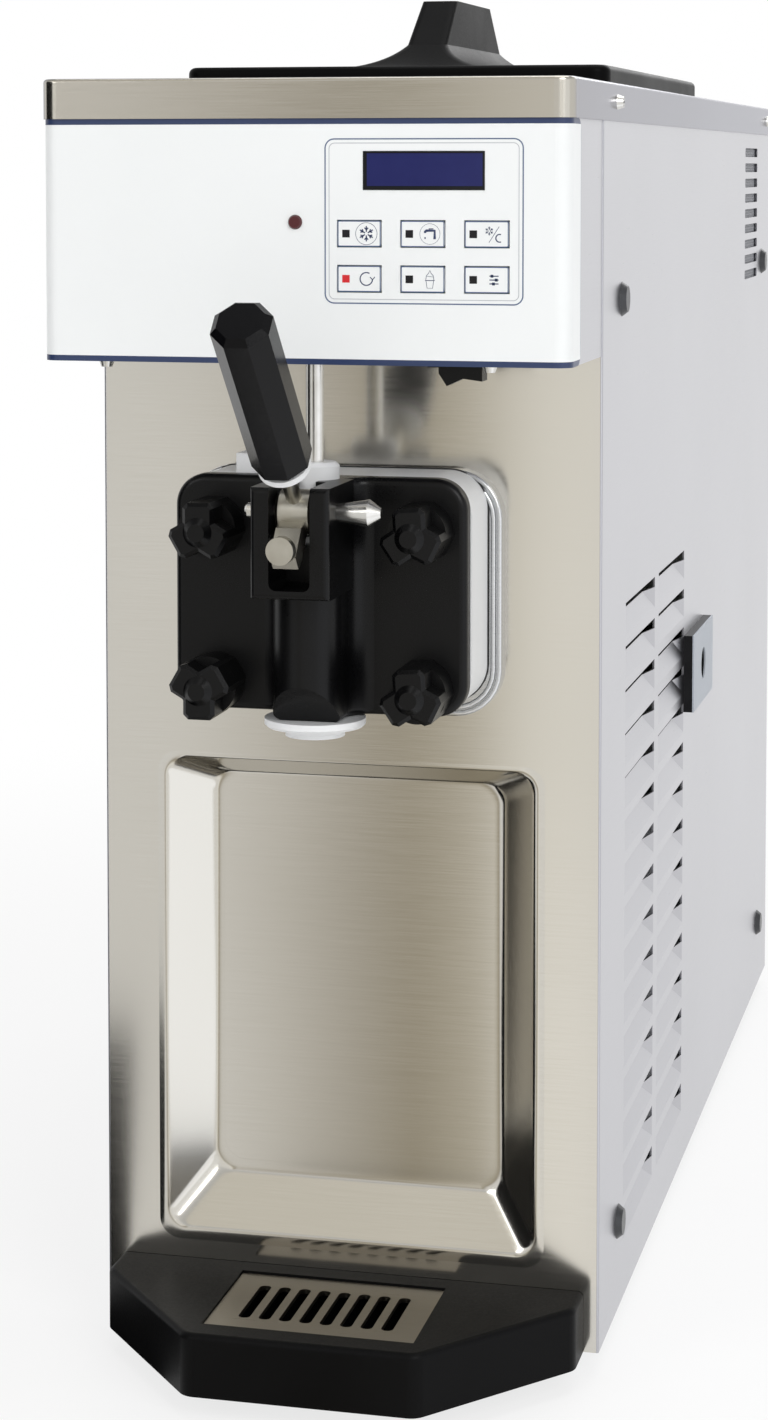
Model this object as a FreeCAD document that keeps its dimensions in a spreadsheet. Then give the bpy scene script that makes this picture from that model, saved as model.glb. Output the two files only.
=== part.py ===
import FreeCAD, Part
import Sketcher
import os
import re

doc = FreeCAD.newDocument("soft_serve_maker")
dim = doc.addObject("Spreadsheet::Sheet", "dim")
V = FreeCAD.Vector
TRIG = ("sin", "cos", "tan", "sqrt")
TURNS = {
    "x": FreeCAD.Rotation(V(0, 1, 0), 90),
    "y": FreeCAD.Rotation(V(1, 0, 0), -90),
    "z": FreeCAD.Rotation(),
}
pieces = []


# Driving sizes, in millimetres or degrees, by the part they belong to
SIZES = {
    # Cabinet
    "body_width": 215,  # width over the side panels
    "body_depth": 628,  # front panel to rear panel
    "body_height": 514,  # side panel height
    "foot_height": 10,  # rubber foot height
    "foot_radius": 16,  # rubber foot radius at the top
    "foot_taper": 2,  # foot radius lost at the floor
    "foot_inset_side": 32.5,  # foot centre from the side
    "foot_inset_end": 45,  # foot centre from the front or rear
    "handle_reach": 164.5,  # grip end ahead of the front panel
    "gauge": 1,  # panel sheet
    "pan_lip": 25,  # base pan lip height
    "fit_gap": 0.3,  # clearance between parts that move past each other
    "run_gap": 0.05,  # radial clearance of a running fit
    # Door and valve
    "door_x": -1,  # door centre off the machine centre
    "axis_z": 321.7,  # freezing cylinder axis height
    "bore_radius": 40,  # freezing cylinder bore
    "bore_wall": 2,  # freezing cylinder wall
    "stud_radius": 4,  # door stud
    "stud_half_span": 43.5,  # door studs across, half
    "stud_low": 36.7,  # lower studs below the cylinder axis
    "stud_high": 27.3,  # upper studs above the cylinder axis
    # Front panel with its pressed recess
    "recess_half": 80,  # recess mouth half width
    "recess_low": 39,  # recess mouth foot
    "recess_high": 244,  # recess mouth top
    "recess_corner": 9,  # recess corner radius
    "recess_depth": 16,  # recess depth
    "recess_floor_half": 63.6,  # recess back half width
    "recess_floor_low": 60,  # recess back foot
    "recess_floor_high": 235.5,  # recess back top
    "peg_radius": 4,  # tray peg radius
    "peg_reach": 13,  # tray peg length
    "peg_half_span": 70,  # tray pegs across, half
    "peg_height": 13,  # tray peg height
    "harness_half": 30,  # harness window half width
    "harness_low": 50,  # harness window foot below the panel top
    "harness_high": 20,  # harness window top below the panel top
    # Leak drawer
    "drawer_front": 250,  # drawer plate front edge behind the front panel
    "drawer_length": 72,  # drawer plate length
    "drawer_low": 226,  # drawer plate foot
    "drawer_height": 38,  # drawer plate height
    "drawer_plate": 5,  # drawer plate thickness
    "drawer_margin": 5,  # drawer plate overlap round its box
    "drawer_reach": 140,  # drawer box length into the cabinet
    "drawer_wall": 2,  # drawer box wall
    "drawer_end": 7,  # drawer box end wall behind the plate
    "drawer_finger": 8,  # drawer finger hole radius
    "drawer_finger_depth": 9,  # drawer finger hole depth
    # Side panels with louvres and vent slots
    "louvre_front": 64,  # first louvre column behind the front panel
    "louvre_length": 86,  # louvre length
    "louvre_columns": 98.5,  # louvre column pitch
    "louvre_low": 26,  # foot of the lowest louvre
    "louvre_height": 14,  # louvre height
    "louvre_pitch": 19.05,  # louvre row pitch
    "louvre_mouth": 4.7,  # louvre opening height
    "louvre_sink": 3.3,  # louvre lip pressed behind the panel face
    "louvre_ramp": 17,  # louvre end ramp length
    "panel_edge": 0.9,  # side panel front edge radius
    "vent_front": 494,  # vent slot start behind the front panel
    "vent_length": 60,  # vent slot length
    "vent_low": 431,  # lowest vent slot foot
    "vent_height": 5,  # vent slot height
    "vent_corner": 2,  # vent slot corner radius
    "vent_pitch": 8.7,  # vent slot pitch
    # Rear panel with its vent slots and the power inlet
    "rear_vent_half": 70,  # rear vent half width
    "rear_vent_low": 120,  # lowest rear vent foot
    "rear_vent_height": 6,  # rear vent height
    "rear_vent_corner": 2.5,  # rear vent corner radius
    "rear_vent_pitch": 18,  # rear vent pitch
    "inlet_x": -70,  # power inlet across
    "inlet_z": 45,  # power inlet height
    "inlet_half_width": 14,  # power inlet body half width
    "inlet_half_height": 10,  # power inlet body half height
    "inlet_rim": 5,  # power inlet rim round its body
    "inlet_plate": 2,  # power inlet rim thickness
    "inlet_depth": 24,  # power inlet body depth
    "inlet_wall": 2.5,  # power inlet wall
    "inlet_blade": 1.5,  # power inlet blade half width
    # Hopper
    "hopper_half": 81,  # hopper pan half width
    "hopper_front": 94,  # hopper pan front behind the front panel
    "hopper_length": 262,  # hopper pan length
    "hopper_corner": 14,  # hopper corner radius
    "hopper_depth": 143,  # hopper pan depth below the cover
    "hopper_rim": 10,  # hopper rim width
    "hopper_outlet": 9,  # hopper outlet radius
    "outlet_y": 140,  # hopper outlet behind the front panel
    # Top cover
    "cap_height": 16,  # top cover height
    "cap_overhang": 0.8,  # top cover past the panels
    "cap_wall": 2,  # top cover skirt with its hem
    "cap_corner": 7.5,  # top cover corner radius
    "cap_edge": 1.5,  # top cover edge radius
    "header_depth": 76,  # header ahead of the front panel
    # Header with the control panel
    "header_height": 96.5,  # header height below the cover
    "header_corner": 6,  # header corner radius under the overlay
    "overlay_gauge": 0.5,  # control overlay thickness
    "overlay_return": 22,  # control overlay return along the sides
    "overlay_round": 6,  # control overlay end corner radius
    "key_width": 17.4,  # key width
    "key_height": 10.2,  # key height
    "key_inset": 58.4,  # middle key column from the right side
    "key_pitch": 25.4,  # key column pitch
    "key_top": 45,  # upper key row below the cover
    "key_drop": 17.65,  # lower key row below the upper
    "key_proud": 0.4,  # key ahead of the overlay
    "key_thick": 3.9,  # key thickness
    "key_corner": 1.2,  # key corner radius
    "window_inset": 58.1,  # display window centre from the right side
    "window_z": 20.4,  # display window centre below the cover
    "window_width": 48.5,  # display window width
    "window_height": 15.2,  # display window height
    "window_proud": 0.2,  # display window ahead of the overlay
    "lens_x": -2.3,  # indicator lens across
    "lens_z": 40.6,  # indicator lens below the cover
    "lens_radius": 2.9,  # indicator lens radius
    "lens_proud": 1.2,  # indicator lens ahead of the overlay
    "lens_stem": 2.4,  # indicator lens stem radius
    "board_back": 70,  # control board face ahead of the front panel
    "board_gauge": 1.6,  # control board thickness
    "board_half": 88,  # control board half width
    "board_low": 80,  # control board foot below the cover
    "board_high": 8,  # control board top below the cover
    # Draw valve, pin and power switch
    "valve_y": 51,  # draw valve axis ahead of the front panel
    "rod_radius": 3.6,  # switch rod radius
    "rod_clear": 1,  # switch rod clearance in the header floor
    "switch_x": 60,  # power switch across
    "switch_y": 52,  # power switch ahead of the front panel
    "switch_half_width": 11,  # power switch body half width
    "switch_half_depth": 6.5,  # power switch body half depth
    # Hopper, lid and air tube
    "lid_half": 96,  # lid half width
    "lid_front": 80,  # lid front behind the front panel
    "lid_length": 290,  # lid length
    "lid_height": 9.5,  # lid plate height above the cover
    "lid_corner": 8,  # lid corner radius
    "lid_edge": 3,  # lid edge radius
    "lid_wall": 3,  # lid wall
    "fin_skirt_half": 42,  # lid fin skirt half width
    "fin_skirt_front": 118,  # lid fin skirt front
    "fin_skirt_rear": 306,  # lid fin skirt rear
    "fin_sweep_half": 20,  # lid fin sweep half width
    "fin_sweep_front": 131,  # lid fin sweep front
    "fin_sweep_rear": 293,  # lid fin sweep rear
    "fin_sweep_rise": 4,  # lid fin sweep above the lid
    "fin_waist_half": 9.4,  # lid fin waist half width
    "fin_waist_front": 148,  # lid fin waist front
    "fin_waist_rear": 276,  # lid fin waist rear
    "fin_waist_rise": 12,  # lid fin waist above the lid
    "fin_top_half": 8.4,  # lid fin top half width
    "fin_top_front": 176,  # lid fin top front
    "fin_top_rear": 256,  # lid fin top rear
    "fin_rise": 33.5,  # lid fin top above the lid
    "fin_round": 3,  # lid fin corner radius
    "tube_rise": 78,  # air tube above the hopper floor
    "tube_sink": 16,  # air tube below the hopper floor
    "tube_wall": 1.5,  # air tube wall
    "tube_collar": 4,  # air tube collar height and width
    # Freezing cylinder, its jacket and the beater
    "barrel_rear": 240,  # freezing cylinder rear face
    "barrel_rear_wall": 4,  # freezing cylinder rear wall
    "flange_plate": 4,  # door flange thickness
    "collar_half": 62,  # cylinder collar half width
    "collar_low": 48,  # cylinder collar below the axis
    "collar_high": 46,  # cylinder collar above the axis
    "collar_plate": 3,  # cylinder collar thickness
    "neck_wall": 2,  # inlet neck wall
    "jacket_half": 58,  # insulation jacket half width
    "jacket_low": 53,  # insulation jacket below the axis
    "jacket_high": 60,  # insulation jacket above the axis
    "shaft_radius": 7,  # drive shaft radius
    "seal_radius": 15,  # shaft seal radius
    "seal_length": 10,  # shaft seal length
    "plug_length": 10,  # door plug inside the cylinder
    "beater_gap": 1.5,  # beater to bore clearance
    "blade_width": 6,  # beater blade width
    "blade_depth": 4,  # beater blade depth
    "drive_grip": 16,  # drive shaft inside the reducer
    # Support frame and drive
    "frame_front": 326,  # support frame behind the front panel
    "frame_plate": 3,  # support frame plate
    "frame_hole": 20,  # support frame shaft hole radius
    "reducer_half": 48,  # gear reducer half width and height
    "reducer_length": 70,  # gear reducer length
    "motor_radius": 44,  # drive motor radius
    "motor_length": 170,  # drive motor length
    "motor_cap": 28,  # drive motor end cap length
    # Cold side
    "comp_y": 470,  # compressor behind the front panel
    "comp_radius": 72,  # compressor shell radius
    "comp_foot": 14,  # compressor foot height
    "comp_wall": 120,  # compressor straight height
    "comp_dome": 34,  # compressor dome height
    "coil_gap": 4,  # condenser from the side panel
    "coil_thick": 30,  # condenser thickness
    "coil_front": 64,  # condenser front behind the front panel
    "coil_length": 186,  # condenser length
    "coil_height": 190,  # condenser height
    "shroud_plate": 4,  # fan shroud thickness
    "fan_radius": 72,  # fan blade tip radius
    "fan_tip_gap": 3,  # fan tip clearance
    "fan_depth": 20,  # fan hub depth
    "hub_radius": 18,  # fan hub radius
    "blade_chord": 30,  # fan blade chord
    "blade_thick": 2,  # fan blade thickness
    "blade_pitch": 30,  # fan blade pitch angle
    "fan_motor_radius": 24,  # fan motor radius
    "fan_motor_length": 40,  # fan motor length
    "bracket_width": 24,  # fan motor bracket width
    # Dispensing door
    "door_low": 48.2,  # door foot below the cylinder axis
    "door_high": 48.3,  # door top above the cylinder axis
    "flange_half": 67.5,  # door flange half width
    "flange_drop": 6.5,  # door flange foot below the door
    "flange_corner": 20,  # door flange corner radius
    "slab_half": 61.5,  # door body half width
    "slab_corner": 16,  # door body corner radius
    "slab_face": 37,  # door body face ahead of the front panel
    "cover_half": 61,  # door cover half width
    "cover_face": 44.5,  # door cover face ahead of the front panel
    "cover_corner": 13,  # door cover corner radius
    "cover_edge": 3,  # door cover face edge radius
    "cover_blend": 9,  # door cover hollow beside the valve housing
    "passage_radius": 7,  # mix passage radius
    "passage_drop": 28,  # mix passage below the cylinder axis
    "lug_left": 37,  # door lug left end from the door centre
    "lug_right": 19,  # door lug right end from the door centre
    "lug_rise": 8,  # door lug above the door
    "lug_back": 8,  # door lug rear ahead of the front panel
    "spout_radius": 14,  # valve housing half width and nose radius
    "spout_nose": 62.5,  # valve housing nose axis ahead of the front panel
    "spout_bevel": 15.5,  # valve housing bevel height
    "valve_radius": 10,  # draw valve radius
    "block_half": 16,  # lever block half width
    "block_round": 2.2,  # lever block face edge radius
    "block_face": 91,  # lever block face ahead of the front panel
    "block_low": 4.3,  # lever block foot above the cylinder axis
    "fork_half": 8.35,  # lever slot half width
    "fork_corner": 3,  # lever slot floor corner radius
    "fork_low": 7.8,  # lever slot floor above the cylinder axis
    "gate_half": 4,  # finger gate half width
    "gate_low": 22,  # finger gate foot above the cylinder axis
    "pin_y": 77,  # pivot pin ahead of the front panel
    "pin_z": 37.8,  # pivot pin above the cylinder axis
    "pin_radius": 3,  # pivot pin radius
    # Door studs and hand knobs
    "knob_collar": 12,  # knob collar radius
    "knob_collar_length": 13,  # knob collar length
    "knob_reach": 11.8,  # knob wing end from the knob axis
    "knob_wing": 6.6,  # knob wing half width
    "knob_corner": 2,  # knob wing corner bevel
    "knob_bevel": 1.5,  # knob face bevel
    "knob_peak": 6,  # knob centre peak radius
    "knob_peak_rise": 2.5,  # knob centre peak height
    "knob_length": 26,  # knob length without its peak
    "knob_bore": 20,  # knob bore depth
    "stud_end_gap": 1,  # stud end to the bottom of the knob bore
    "knob_turn_left": 0,  # upper left knob from upright at rest
    "knob_turn_low": 60,  # lower left knob from upright at rest
    "knob_turn_right": 4,  # right knobs from upright at rest
    # Draw valve and switch rod
    "valve_rise": 6.8,  # draw valve top above the door
    "valve_foot": 2.5,  # draw valve foot above the door foot
    "valve_bevel": 1.5,  # draw valve top bevel
    "finger_reach": 26,  # lever finger length from the pin
    "finger_drop": 15,  # lever finger below level at rest
    "finger_nose": 4,  # lever finger nose radius
    "finger_half": 2.6,  # lever finger half width
    "finger_bar": 4,  # lever finger bar thickness
    "valve_window": 10.6,  # draw valve window height
    "rod_rise": 15,  # switch rod above the header floor
    # Draw handle
    "hub_outer": 9,  # lever barrel radius
    "hub_half": 7.6,  # lever barrel half width
    "hub_bevel": 1.5,  # lever barrel edge bevel
    "stem_radius": 3.2,  # lever shaft radius
    "lean": 45.5,  # handle lean from upright at rest
    "grip_start": 28,  # grip foot from the pin
    "grip_end": 113,  # grip end from the pin
    "grip_flats": 22.5,  # grip across flats
    "grip_facet": 45,  # angle between neighbouring grip flats
    "grip_bevel": 2.5,  # grip end bevel
    "ferrule_length": 3,  # grip ferrule length
    "ferrule_radius": 10.5,  # grip ferrule radius
    "tail_half": 5.1,  # lever tail half width
    "screw_radius": 2.5,  # adjusting screw radius
    "screw_head": 5.5,  # adjusting screw head radius
    "screw_head_length": 4.5,  # adjusting screw head length
    "screw_drop": 12.5,  # adjusting screw below the pin
    "screw_front": 28,  # adjusting screw head face ahead of the pin
    "screw_tip": 9,  # adjusting screw tip ahead of the pin
    "tail_top_out": 14.5,  # lever tail face top ahead of the pin
    "tail_top_drop": 5,  # lever tail face top below the pin
    "tail_low_out": 23,  # lever tail face foot ahead of the pin
    "tail_low_drop": 15.5,  # lever tail face foot below the pin
    "tail_end_out": 18.5,  # lever tail end ahead of the pin
    "tail_end_drop": 20.5,  # lever tail end below the pin
    "tail_back_out": 12.5,  # lever tail back ahead of the pin
    "tail_back_drop": 17.5,  # lever tail back below the pin
    "pin_stub": 5.4,  # pivot pin left end past the block
    "pin_bevel": 1,  # pivot pin left end bevel
    "pin_head_length": 13,  # pivot pin head length
    "pin_head_start": 3.35,  # pivot pin head radius at the block
    "pin_head_end": 5.45,  # pivot pin head radius at its end
    "pin_tip_length": 4.8,  # pivot pin tip length
    "pin_tip": 2,  # pivot pin tip radius
    # Nozzle cap
    "nozzle_radius": 20.5,  # nozzle cap disc radius
    "nozzle_plate": 3.5,  # nozzle cap disc thickness
    "nozzle_edge": 1,  # nozzle cap disc edge bevel
    "nozzle_spout": 12,  # nozzle cap spout radius
    "nozzle_drop": 3.9,  # nozzle cap spout below the disc
    "nozzle_hollow": 2.5,  # nozzle cap slope round the spout
    "nozzle_bore": 7,  # nozzle cap bore radius
    # Drip tray and grille
    "tray_half": 101,  # drip tray half width
    "tray_side": 20,  # drip tray straight side length
    "tray_nose_half": 48,  # drip tray nose half width
    "tray_depth": 82.5,  # drip tray nose ahead of the front panel
    "tray_height": 25.8,  # drip tray height
    "tray_corner": 8,  # drip tray corner radius
    "tray_edge": 2.5,  # drip tray top edge radius
    "tray_wall": 3,  # drip tray floor
    "grille_half": 44,  # drip grille half width
    "grille_front": 70,  # drip grille front edge ahead of the front panel
    "grille_back": 10,  # drip grille rear edge ahead of the front panel
    "grille_plate": 2,  # drip grille thickness
    "grille_sink": 3,  # drip grille seat below the tray top
    "grille_ledge": 3,  # drip grille ledge width
    "grille_slot": 5,  # drip grille slot width
    "grille_slot_corner": 2.3,  # drip grille slot corner radius
    "grille_slot_pitch": 8.6,  # drip grille slot pitch
    "grille_slot_inset": 12,  # drip grille slot end from the grille edge
    # Power switch, draw switch, plugs and screws
    "switch_rim": 1.5,  # power switch rim thickness and width
    "switch_body": 18,  # power switch body above the header floor
    "switch_wall": 1.2,  # power switch wall
    "rocker_gap": 1,  # rocker ends to the switch wall
    "rocker_axle": 1.2,  # rocker axle radius
    "rocker_axle_rise": 0.5,  # rocker axle above the header floor
    "rocker_pivot": 2,  # rocker top above the header floor
    "rocker_shoulder": 4,  # rocker shoulder below the header floor
    "rocker_drop": 9,  # rocker tip below the header floor
    "rocker_tip": 5.5,  # rocker tip from the switch centre
    "rocker_notch": 1,  # rocker valley from the switch centre
    "rocker_valley": 6,  # rocker valley below the header floor
    "micro_half": 8,  # draw switch half width
    "micro_depth": 26,  # draw switch depth
    "micro_height": 12,  # draw switch height
    "micro_gap": 16,  # draw switch above the rod at rest
    "plug_radius": 7.5,  # side plug radius
    "plug_face": 5.5,  # side plug face radius
    "plug_proud": 2.6,  # side plug proud of the panel
    "plug_front": 50,  # front side plugs behind the front panel
    "plug_rear": 48,  # rear side plugs ahead of the rear panel
    "plug_low": 39,  # lower side plug height
    "plug_high": 439,  # upper side plug height
    "screw_left": 83,  # left header screw from the centre
    "screw_right": 74,  # right header screw from the centre
    "screw_y": 68,  # header screws ahead of the front panel
    "pan_radius": 3.2,  # pan head radius
    "pan_proud": 2.6,  # pan head height
    "pan_taper": 0.9,  # pan head radius lost at its face
    "cap_screw_y": 30.7,  # top cover screws from the ends
}

for row, (alias, value) in enumerate(SIZES.items(), 1):
    dim.set("A" + str(row), alias.replace("_", " "))
    dim.set("B" + str(row), str(value))
    dim.setAlias("B" + str(row), alias)


def ex(text):
    """Point every size word of an expression at the sheet."""
    return re.sub(r"[a-z][a-z_]+", lambda m: m.group() if m.group() in TRIG else "dim." + m.group(), text)


def number(text):
    """The present value of an expression."""
    return float(dim.evalExpression(ex(text)))


def bind(thing, **links):
    """Tie properties of an object to expressions."""
    for name, text in links.items():
        thing.setExpression(name, ex(text))
    return thing


def locate(thing, x, y, z):
    """Tie the position of an object to three expressions."""
    for axis, text in zip("xyz", (x, y, z)):
        thing.setExpression("Placement.Base." + axis, ex(text))
    return thing


# The machine datum is the foot of the front panel, on top of the rubber feet.
datum_y = "(handle_reach - body_depth) / 2"


def keep(thing):
    """Stand a finished piece on the machine datum and list it for export."""
    pieces.append(thing)
    return locate(thing, "0", datum_y, "foot_height")


def box(name, x, y, z, dx, dy, dz):
    """A block from its low corner."""
    block = doc.addObject("Part::Box", name)
    bind(block, Length=dx, Width=dy, Height=dz)
    return locate(block, x, y, z)


def rod(name, axis, x, y, z, radius, length):
    """A round bar that starts at a point and runs along an axis."""
    bar = doc.addObject("Part::Cylinder", name)
    bar.Placement = FreeCAD.Placement(V(), TURNS[axis])
    bind(bar, Radius=radius, Height=length)
    return locate(bar, x, y, z)


def cone(name, axis, x, y, z, start, end, length):
    """A tapered round bar that starts at a point and runs along an axis."""
    taper = doc.addObject("Part::Cone", name)
    taper.Placement = FreeCAD.Placement(V(), TURNS[axis])
    bind(taper, Radius1=start, Radius2=end, Height=length)
    return locate(taper, x, y, z)


def join(name, *parts):
    """One solid from several."""
    whole = doc.addObject("Part::MultiFuse", name)
    whole.Shapes = list(parts)
    return whole


def cut(name, base, *tools):
    """A solid less one or more others."""
    rest = doc.addObject("Part::Cut", name)
    rest.Base = base
    rest.Tool = tools[0] if len(tools) == 1 else join(name + "_tools", *tools)
    return rest


def group(name, *parts):
    """Separate solids that share one name."""
    kit = doc.addObject("Part::Compound", name)
    kit.Links = list(parts)
    return kit


def body(name):
    """A feature body."""
    return doc.addObject("PartDesign::Body", name)


def origin(owner, role):
    """A plane or axis of a body's own origin."""
    return (next(f for f in owner.Origin.OriginFeatures if f.Role == role), [""])


def sketch(owner, plane, offset="0"):
    """A sketch on one of the body's origin planes, shifted along the plane's normal."""
    drawing = owner.newObject("Sketcher::SketchObject", owner.Name + "_sketch")
    drawing.AttachmentSupport = origin(owner, plane)
    drawing.MapMode = "FlatFace"
    drawing.setExpression("AttachmentOffset.Base.z", ex(offset))
    return drawing


def pin_point(drawing, line, end, x, y):
    """Hold one sketch point at two expressions from the sketch origin."""
    for kind, text in (("DistanceX", x), ("DistanceY", y)):
        place = drawing.addConstraint(Sketcher.Constraint(kind, -1, 1, line, end, number(text)))
        drawing.setExpression("Constraints[%d]" % place, ex(text))


def polygon(drawing, *points):
    """A closed run of straight edges through corners given by expressions."""
    first = len(drawing.Geometry)
    count = len(points)
    corners = [V(number(x), number(y), 0) for x, y in points]
    for i in range(count):
        drawing.addGeometry(Part.LineSegment(corners[i], corners[(i + 1) % count]), False)
    for i in range(count):
        drawing.addConstraint(Sketcher.Constraint("Coincident", first + i, 2, first + (i + 1) % count, 1))
        pin_point(drawing, first + i, 1, *points[i])
    return drawing


def rect(drawing, left, low, right, high):
    """A rectangle between two corners."""
    return polygon(drawing, (left, low), (right, low), (right, high), (left, high))


def circle(drawing, x, y, radius):
    """A circle with its centre and radius given by expressions."""
    ring = Part.Circle(V(number(x), number(y), 0), V(0, 0, 1), number(radius))
    place = drawing.addGeometry(ring, False)
    pin_point(drawing, place, 3, x, y)
    hold = drawing.addConstraint(Sketcher.Constraint("Radius", place, number(radius)))
    drawing.setExpression("Constraints[%d]" % hold, ex(radius))
    return drawing


def rounded(drawing, left, low, right, high, radius):
    """A rectangle with four equal round corners."""
    first = len(drawing.Geometry)
    x0, y0, x1, y1, r = (number(t) for t in (left, low, right, high, radius))
    quarter = 1.5707963267948966
    runs = [
        (V(x0 + r, y0, 0), V(x1 - r, y0, 0), V(x1 - r, y0 + r, 0), 3 * quarter),
        (V(x1, y0 + r, 0), V(x1, y1 - r, 0), V(x1 - r, y1 - r, 0), 0),
        (V(x1 - r, y1, 0), V(x0 + r, y1, 0), V(x0 + r, y1 - r, 0), quarter),
        (V(x0, y1 - r, 0), V(x0, y0 + r, 0), V(x0 + r, y0 + r, 0), 2 * quarter),
    ]
    for start, end, centre, turn in runs:
        drawing.addGeometry(Part.LineSegment(start, end), False)
        drawing.addGeometry(Part.ArcOfCircle(Part.Circle(centre, V(0, 0, 1), r), turn, turn + quarter),
                            False)
    for i in range(8):
        drawing.addConstraint(Sketcher.Constraint("Tangent", first + i, 2, first + (i + 1) % 8, 1))
    for i, way in ((0, "Horizontal"), (2, "Vertical"), (4, "Horizontal"), (6, "Vertical")):
        drawing.addConstraint(Sketcher.Constraint(way, first + i))
    for i in (3, 5, 7):
        drawing.addConstraint(Sketcher.Constraint("Equal", first + 1, first + i))
    links = [
        (Sketcher.Constraint("Radius", first + 1, r), radius),
        (Sketcher.Constraint("DistanceX", -1, 1, first + 6, 1, x0), left),
        (Sketcher.Constraint("DistanceY", -1, 1, first, 1, y0), low),
        (Sketcher.Constraint("DistanceX", -1, 1, first + 2, 1, x1), right),
        (Sketcher.Constraint("DistanceY", -1, 1, first + 4, 1, y1), high),
    ]
    for rule, text in links:
        place = drawing.addConstraint(rule)
        drawing.setExpression("Constraints[%d]" % place, ex(text))
    return drawing


def feature(owner, kind, drawing, length, back=False):
    """A pad or pocket of a sketch by a length."""
    made = owner.newObject("PartDesign::" + kind, owner.Name + "_" + kind.lower())
    made.Profile = drawing
    made.Reversed = back
    bind(made, Length=length)
    drawing.Visibility = False
    return made


def pad(owner, drawing, length, back=False):
    """Add a sketch carried along its normal, or against it."""
    return feature(owner, "Pad", drawing, length, back)


def pocket(owner, drawing, length, back=False):
    """Take away a sketch carried against its normal, or along it."""
    return feature(owner, "Pocket", drawing, length, back)


def loft(owner, kind, near, *far):
    """Straight walls from one sketch to the next, added or taken away."""
    made = owner.newObject("PartDesign::" + kind, owner.Name + "_loft")
    made.Profile = near
    made.Sections = list(far)
    made.Ruled = True
    return made


def rows(owner, originals, axis, count, span, side_axis=None, side_span=None):
    """Repeat features along an axis, and once more along a second axis if one is given."""
    doc.recompute()
    made = owner.newObject("PartDesign::LinearPattern", owner.Name + "_rows")
    made.Originals = originals
    made.Direction = origin(owner, axis)
    made.Occurrences = count
    bind(made, Length=span)
    if side_axis:
        made.Direction2 = origin(owner, side_axis)
        made.Occurrences2 = 2
        bind(made, Length2=side_span)
    owner.Tip = made
    return made


def edges(shape, wanted):
    """Names of the edges that pass a test on their two ends."""
    names = []
    for i, edge in enumerate(shape.Edges, 1):
        if edge.Vertexes and wanted(edge.Vertexes[0].Point, edge.Vertexes[-1].Point):
            names.append("Edge%d" % i)
    return names


def soften(owner, kind, amount, wanted):
    """Round or bevel the edges of a body's last feature that pass a test."""
    doc.recompute()
    base = owner.Tip
    made = owner.newObject("PartDesign::" + kind, owner.Name + "_" + kind.lower())
    made.Base = (base, edges(base.Shape, wanted))
    bind(made, **{"Radius" if kind == "Fillet" else "Size": amount})
    return made


def same(a, b):
    """Whether two coordinates agree."""
    return abs(a - b) < 0.001


def upright(p, q):
    """Whether an edge stands along Z."""
    return same(p.x, q.x) and same(p.y, q.y)


def lying(axis, text):
    """A test for edges whose ends both lie at one value of an axis."""
    value = number(text)
    return lambda p, q: same(getattr(p, axis), value) and same(getattr(q, axis), value)


LOUVRE_ROWS = 15
VENT_ROWS = 9
REAR_VENT_ROWS = 16
GRILLE_SLOTS = 8

doc.recompute()
half_in = "(body_width / 2 - gauge)"
# A cut through one sheet that starts and ends a sheet clear of it.
through = "3 * gauge"

# Base pan and feet
pan_out = box("pan_outer", "-" + half_in, "gauge", "0", "2 * " + half_in, "body_depth - 2 * gauge",
              "pan_lip")
pan_in = box("pan_inner", "gauge - " + half_in, "2 * gauge", "gauge",
             "2 * " + half_in + " - 2 * gauge", "body_depth - 4 * gauge", "pan_lip")
keep(cut("base_pan", pan_out, pan_in))

feet = []
for side in ("-1", "1"):
    for end in ("foot_inset_end", "body_depth - foot_inset_end"):
        feet.append(cone("foot", "z", side + " * (body_width / 2 - foot_inset_side)", end, "-foot_height",
                         "foot_radius - foot_taper", "foot_radius", "foot_height"))
keep(group("rubber_feet", *feet))


barrel_hole = "(bore_radius + bore_wall + fit_gap)"
stud_hole = "(stud_radius + fit_gap)"
stud_spots = []
for side in ("-1", "1"):
    for level in ("axis_z + stud_high", "axis_z - stud_low"):
        stud_spots.append(("door_x + " + side + " * stud_half_span", level))

# Front panel with its pressed recess

panel = body("front_panel")
pad(panel, rect(sketch(panel, "XZ_Plane"), "-" + half_in, "0", half_in, "body_height"), "gauge", True)
shell_near = rounded(sketch(panel, "XZ_Plane"), "-recess_half - gauge", "recess_low - gauge",
                     "recess_half + gauge", "recess_high + gauge", "recess_corner + gauge")
shell_far = rounded(sketch(panel, "XZ_Plane", "-recess_depth - gauge"), "-recess_floor_half - gauge",
                    "recess_floor_low - gauge", "recess_floor_half + gauge", "recess_floor_high + gauge",
                    "recess_corner + gauge")
loft(panel, "AdditiveLoft", shell_near, shell_far)
pan_near = rounded(sketch(panel, "XZ_Plane"), "-recess_half", "recess_low", "recess_half", "recess_high",
                   "recess_corner")
pan_far = rounded(sketch(panel, "XZ_Plane", "-recess_depth"), "-recess_floor_half", "recess_floor_low",
                  "recess_floor_half", "recess_floor_high", "recess_corner")
loft(panel, "SubtractiveLoft", pan_near, pan_far)
holes = circle(sketch(panel, "XZ_Plane", "gauge"), "door_x", "axis_z", barrel_hole)
for x, z in stud_spots:
    circle(holes, x, z, stud_hole)
rect(holes, "-harness_half", "body_height - harness_low", "harness_half", "body_height - harness_high")
pocket(panel, holes, through)
keep(panel)

pegs = []
for side in ("-1", "1"):
    pegs.append(rod("peg", "y", side + " * peg_half_span", "-peg_reach", "peg_height", "peg_radius",
                    "peg_reach"))
keep(group("tray_pegs", *pegs))


# Side panels with louvres and vent slots


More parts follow.
